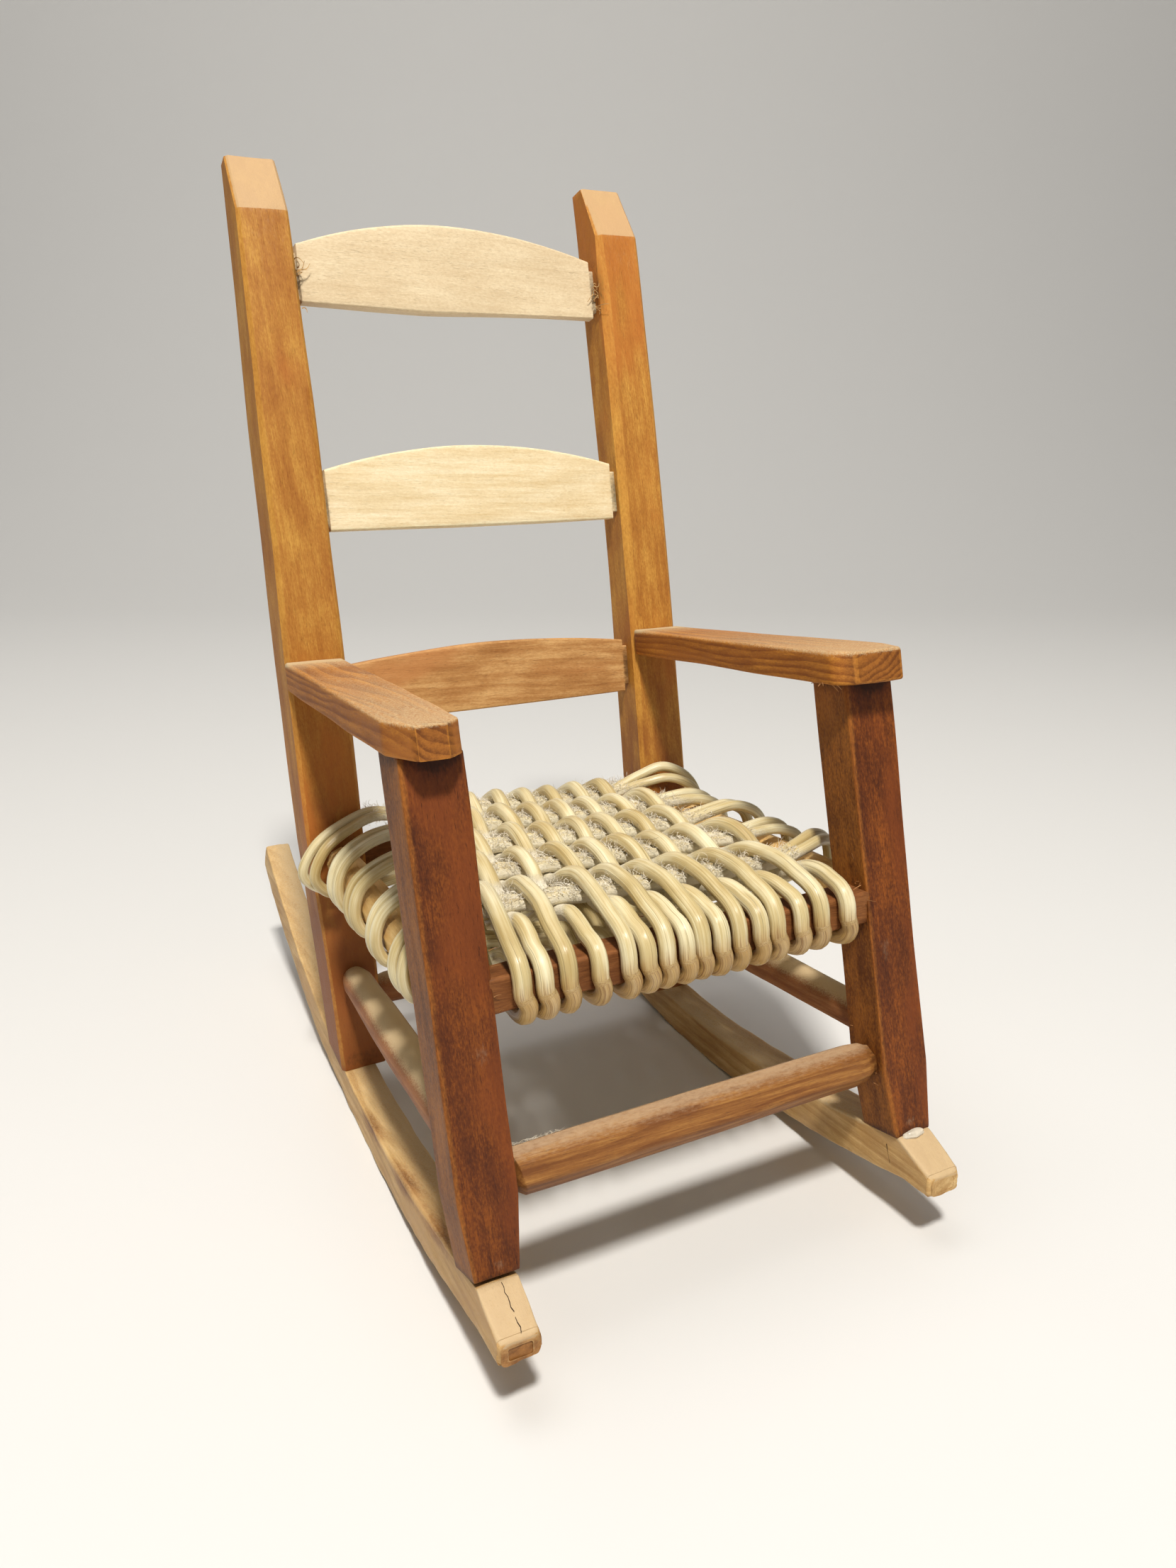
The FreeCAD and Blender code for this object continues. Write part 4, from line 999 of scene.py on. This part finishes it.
for hand, side in SIDES.items():
    front_post(hand, side, wood(
        f"front_{hand}_grain", shade(RED_LIGHT, 1 + 0.08 * side), RED_DARK, rings=0.15, ring=2.3,
        pith=(18, 14), fibre=0.7, bands=0.2, cloud=0.9, pores=0.9, fleck=1.5, gloss=0.35,
        seed=1 + side, blush=(0.20, 0.046, 0.007)))
    back_post(hand, side, wood(
        f"back_{hand}_grain", shade(HONEY_LIGHT, 0.95 + 0.05 * side), HONEY_DARK, rings=0.12, ring=2.6,
        pith=(20, 8), fibre=0.45, bands=0.25, cloud=0.7, pores=0.45, fleck=0.7, gloss=0.4,
        seed=4 + side, blush=(0.48, 0.15, 0.022), fade=(-8.0, 42.0, (0.25, 0.072, 0.017))))
    arm(hand, side, wood(
        f"arm_{hand}_grain", (0.60, 0.25, 0.034), (0.23, 0.068, 0.009), rings=0.7, ring=1.3,
        pith=(6 * side, 10), tilt=(0.02, 0.05), cloud=0.4, pores=0.6, fleck=0.5, gloss=0.2,
        seed=7 + side, blush=(0.40, 0.14, 0.026)))
    rocker(hand, side, wood(
        f"rocker_{hand}_grain", PALE_LIGHT, PALE_DARK, rings=0.4, ring=2.4, pith=(9, 15),
        tilt=(0.02, 0.05), fibre=0.4, cloud=0.7, pores=0.4, fleck=0.4, seed=10 + side,
        blush=(0.56, 0.33, 0.13)))

slat("top", wood(
    "top_slat_grain", (0.81, 0.68, 0.46), (0.58, 0.43, 0.25), rings=0.1, ring=2.8, pith=(30, 6),
    fibre=0.3, bands=0.25, cloud=0.4, pores=0.3, fleck=0.9, gloss=0.45, seed=13))
slat("middle", wood(
    "middle_slat_grain", (0.94, 0.83, 0.59), (0.70, 0.52, 0.27), rings=0.2, ring=2.2, pith=(24, 9),
    fibre=0.3, pores=0.25, fleck=0.7, gloss=0.45, seed=14))
slat("lower", wood(
    "lower_slat_grain", (0.68, 0.40, 0.16), (0.34, 0.14, 0.036), ring=2.4, pith=(20, 7),
    fibre=0.35, cloud=0.9, fleck=0.6, gloss=0.4, seed=15, blush=(0.52, 0.22, 0.07)))

rail_wood = wood("rail_grain", (0.29, 0.112, 0.032), (0.115, 0.036, 0.009), rings=0.2, ring=1.8,
                 pith=(8, 9), fibre=0.9, bands=0.4, cloud=0.7, pores=0.7, gloss=0.1, seed=16)
side_rail_wood = wood("side_rail_grain", (0.90, 0.66, 0.31), (0.62, 0.36, 0.11), rings=0.4, ring=1.8,
                      pith=(8, 9), gloss=0.4, seed=17)
stretcher_wood = wood("stretcher_grain", (0.46, 0.21, 0.08), (0.22, 0.07, 0.02), ring=2.0, pith=(8, 9),
                      gloss=0.35, seed=18)
front_stretcher_wood = wood(
    "front_stretcher_grain", (0.42, 0.196, 0.048), (0.17, 0.056, 0.012), rings=0.55, ring=1.1,
    pith=(5, 4), tilt=(0.01, 0.02), fibre=0.7, bands=0.9, cloud=0.4, pores=0.7, gloss=0.45, seed=19)

rail_back = back_front(seat_plane(SIDE_REAR))
stretcher_back = back_front(STRETCHER_BACK)
square_rail("front_rail", RAIL_SETBACK, FRONT_INNER, rail_wood)
square_rail("back_rail", rail_back + 5.0, BACK_INNER, rail_wood)
for hand, side in SIDES.items():
    pole(f"side_rail_{hand}",
         (side * SIDE_FRONT, FRONT_DEPTH - 0.5, seat_plane(FRONT_DEPTH)),
         (side * SIDE_BACK, rail_back + 0.5, seat_plane(rail_back)), [(0, 3.1), (0.5, 3.3), (1, 3.1)],
         side_rail_wood, ("dust", -3.0, 1.0, 0.28), range(10 - 20 * side, 370, 40), wobble=0.15, seed=51)
    pole(f"side_stretcher_{hand}",
         (side * SIDE_FRONT, FRONT_DEPTH - 0.5, STRETCHER_FRONT),
         (side * SIDE_BACK, stretcher_back + 0.5, STRETCHER_BACK),
         [(0, 2.6), (0.05, 3.15), (0.5, 3.35), (0.95, 3.15), (1, 2.6)],
         stretcher_wood, ("dust", 0.6, 3.0, 0.9), seed=54 + side)
pole("front_stretcher", (-FRONT_INNER - 0.3, *FRONT_STRETCHER),
     (FRONT_INNER + 0.3, *FRONT_STRETCHER),
     [(0, 2.4), (0.008, 2.4), (0.012, 3.55), (0.5, 3.65), (0.93, 3.55), (0.965, 3.3), (0.985, 2.7),
      (1, 2.5)],
     front_stretcher_wood, ("pale", 1.6, 3.4, 0.5), (-85, -42, 5, 54, 112, 160, 205, 240),
     [("dust", (-29, 5.8, 16.6), (6, 1.8, 1.6), 0.8), ("dark", (-34, 4, 11), (1.4, 5, 5), 0.8),
      ("dark", (34, 4, 13), (2.2, 5, 5), 0.6)], wobble=0.1, seed=60, skew=1.7)
pole("back_stretcher", (-BACK_INNER - 0.3, *BACK_STRETCHER),
     (BACK_INNER + 0.3, *BACK_STRETCHER),
     [(0, 2.6), (0.05, 3.2), (0.5, 3.3), (0.95, 3.2), (1, 2.6)],
     stretcher_wood, ("dust", 0.0, 3.0, 0.7), seed=63)

reed = reed_skin("reed_skin", (0.83, 0.76, 0.51), (0.44, 0.31, 0.115))
weave("seat_warp_reed", "seat_warp", [warp_strand(i) for i in range(len(WARP_FRONT))], reed)
weave("seat_weft_reed", "seat_weft",
      [weft_strand(pair, which) for pair in range(len(PAIRS)) for which in (0, 1)], reed)

fluff = plain("lint_fluff", (0.92, 0.86, 0.72), 0.9)
threads("seat_lint", "seat_weft", weave_lint(8500), 0.055, fluff)
draw = random.Random(77)
edge = [[(x, 5.2 + draw.gauss(0, 0.4), 16.3), (x + draw.gauss(0, 0.4), 5.4, 16.7),
         (x + draw.gauss(0, 0.7), 5.5 + draw.gauss(0, 0.3), 17.0)]
        for x in (draw.uniform(-33, -24) for _ in range(60))]
threads("stretcher_lint", "front_stretcher", edge, 0.04, fluff)
stray = [in_seat(3.6 + 1.2 * k, 25.1 + 0.5 * math.sin(k), 9.2 + 0.2 * math.sin(k * 1.3)) for k in range(6)]
threads("stray_fibre", "seat_warp", [stray], 0.05, plain("dark_fibre", (0.05, 0.03, 0.02), 0.6))

splinter = plain("splinter", (0.42, 0.19, 0.06), 0.7)
slat_y = back_front(165) + 2.0
ends = tuft(draw, 9, (-BACK_INNER + 0.5, slat_y, 165.5), (0.25, 0.4, 2.2), (0.5, -0.8, 0.2), 2.6, 4.0)
ends += tuft(draw, 12, (BACK_INNER - 0.4, slat_y, 164), (0.25, 0.4, 2.4), (-0.4, -0.8, 0.3), 3.2, 4.5)
threads("slat_shavings", "top_slat", ends, 0.13, plain("shaving", (0.60, 0.36, 0.14), 0.65))
tears = tuft(draw, 7, (30.6, 0.4, 79.4), (0.9, 0.5, 0.15), (1, -0.25, -0.12), 2.6, 0.6)
tears += tuft(draw, 5, (29.9, 1.5, 79.2), (0.3, 1.2, 0.15), (0.4, 0.3, -0.7), 1.2, 0.8)
threads("arm_splinters", "arm_right", tears, 0.16, splinter)
torn = tuft(draw, 14, (-33.4, 2.0, 42.5), (0.4, 1.2, 1.8), (0.7, -0.6, 0.1), 1.3, 1.0)
torn += tuft(draw, 14, (33.6, 3.2, 42.5), (0.3, 1.5, 2.6), (-0.6, -0.6, 0.4), 1.5, 1.2)
torn += tuft(draw, 8, (33.8, 4.0, 13.0), (0.2, 1.5, 3.0), (-0.7, -0.5, 0.2), 1.2, 1.0)
threads("rail_splinters", "front_rail", torn, 0.09, splinter)

crevice = plain("crevice", (0.035, 0.018, 0.010), 0.9)
crack = [(-38.5 + 0.12 * math.sin(2.3 * k), -0.2 - 0.62 * k,
          (-0.2 - 0.62 * k) * NOSE_DROP / NOSE + 0.03) for k in range(11)]
threads("nose_crack", "rocker_left", [crack[:7], crack[7:]], 0.05, crevice, taper=-0.4)
scratch = [(35.43 + 0.02 * k, 3.15 - 0.04 * k, -2.0 - 0.56 * k) for k in range(7)]
threads("side_mark", "rocker_right", [scratch], 0.09, crevice, taper=0.0)
glue_drop("foot_glue", "rocker_right", (38.6, -0.25, 0.0), (2.5, 0.9, 0.75),
          plain("dried_glue", (0.78, 0.70, 0.56), 0.3), 3.0)

# --- Stage, lights and camera ---

EYE = Vector((-87.77, -150.37, 82.46)) * MM
RIGHTWARD = Vector((0.8902, -0.44, -0.1181))
FORWARD = Vector((0.4329, 0.8978, -0.0814))
FLOOR_HALF, FLOOR_FRONT, BEND_START, BEND_RADIUS, BACKDROP_TOP = 4, -2.5, 0.55, 0.5, 3.0
AIM = Vector((0, 0, 0.08))


def make_camera():
    """The camera, at the angle the chair was seen from."""
    z = -FORWARD.normalized()
    x = (RIGHTWARD - z * RIGHTWARD.dot(z)).normalized()
    pose = Matrix((x, z.cross(x), z)).transposed().to_4x4()
    data = bpy.data.cameras.new("view_camera")
    data.sensor_fit = "HORIZONTAL"
    data.sensor_width = 36.0
    data.lens = 34.72
    data.clip_start = 0.005
    thing = bpy.data.objects.new("view_camera", data)
    bpy.context.scene.collection.objects.link(thing)
    thing.matrix_world = UPRIGHT @ Matrix.Translation(EYE) @ pose
    bpy.context.scene.camera = thing


def make_floor():
    """A pale floor that curves up into a backdrop behind the chair."""
    bends = [step / 12 * math.pi / 2 for step in range(1, 13)]
    profile = [(FLOOR_FRONT, 0.0), (BEND_START, 0.0)]
    profile += [(BEND_START + BEND_RADIUS * math.sin(a), BEND_RADIUS - BEND_RADIUS * math.cos(a))
                for a in bends]
    profile.append((BEND_START + BEND_RADIUS, BACKDROP_TOP))
    points = [(x, y, z) for y, z in profile for x in (-FLOOR_HALF, FLOOR_HALF)]
    faces = [(2 * k, 2 * k + 1, 2 * k + 3, 2 * k + 2) for k in range(len(profile) - 1)]
    mesh = bpy.data.meshes.new("floor")
    mesh.from_pydata(points, [], faces)
    mesh.shade_smooth()
    thing = bpy.data.objects.new("floor", mesh)
    thing.rotation_euler = (0, 0, -math.atan2(FORWARD.x, FORWARD.y))
    bpy.context.scene.collection.objects.link(thing)
    material = bpy.data.materials.new("floor_paint")
    material.use_nodes = True
    shader = material.node_tree.nodes["Principled BSDF"]
    shader.inputs["Base Color"].default_value = (0.74, 0.735, 0.72, 1)
    shader.inputs["Roughness"].default_value = 0.85
    mesh.materials.append(material)


def softbox(name, place, size, watts, colour):
    """A square area light aimed at the seat."""
    data = bpy.data.lights.new(name, "AREA")
    data.size = size
    data.energy = watts
    data.color = colour
    thing = bpy.data.objects.new(name, data)
    thing.location = place
    thing.rotation_euler = (AIM - Vector(place)).to_track_quat("-Z", "Y").to_euler()
    bpy.context.scene.collection.objects.link(thing)


make_camera()
make_floor()
softbox("key", (-0.15, -0.42, 0.88), 0.10, 9.2, (1, 0.96, 0.90))
softbox("overhead", (-0.2, 0.3, 1.3), 0.7, 5.0, (1, 0.98, 0.95))
softbox("front_fill", (0.3, -1.1, 0.5), 0.6, 1.0, (1, 0.97, 0.93))
world = bpy.data.worlds.new("studio")
world.use_nodes = True
world.node_tree.nodes["Background"].inputs["Color"].default_value = (1, 0.98, 0.95, 1)
world.node_tree.nodes["Background"].inputs["Strength"].default_value = 0.14
bpy.context.scene.world = world
bpy.context.scene.view_settings.view_transform = "Standard"
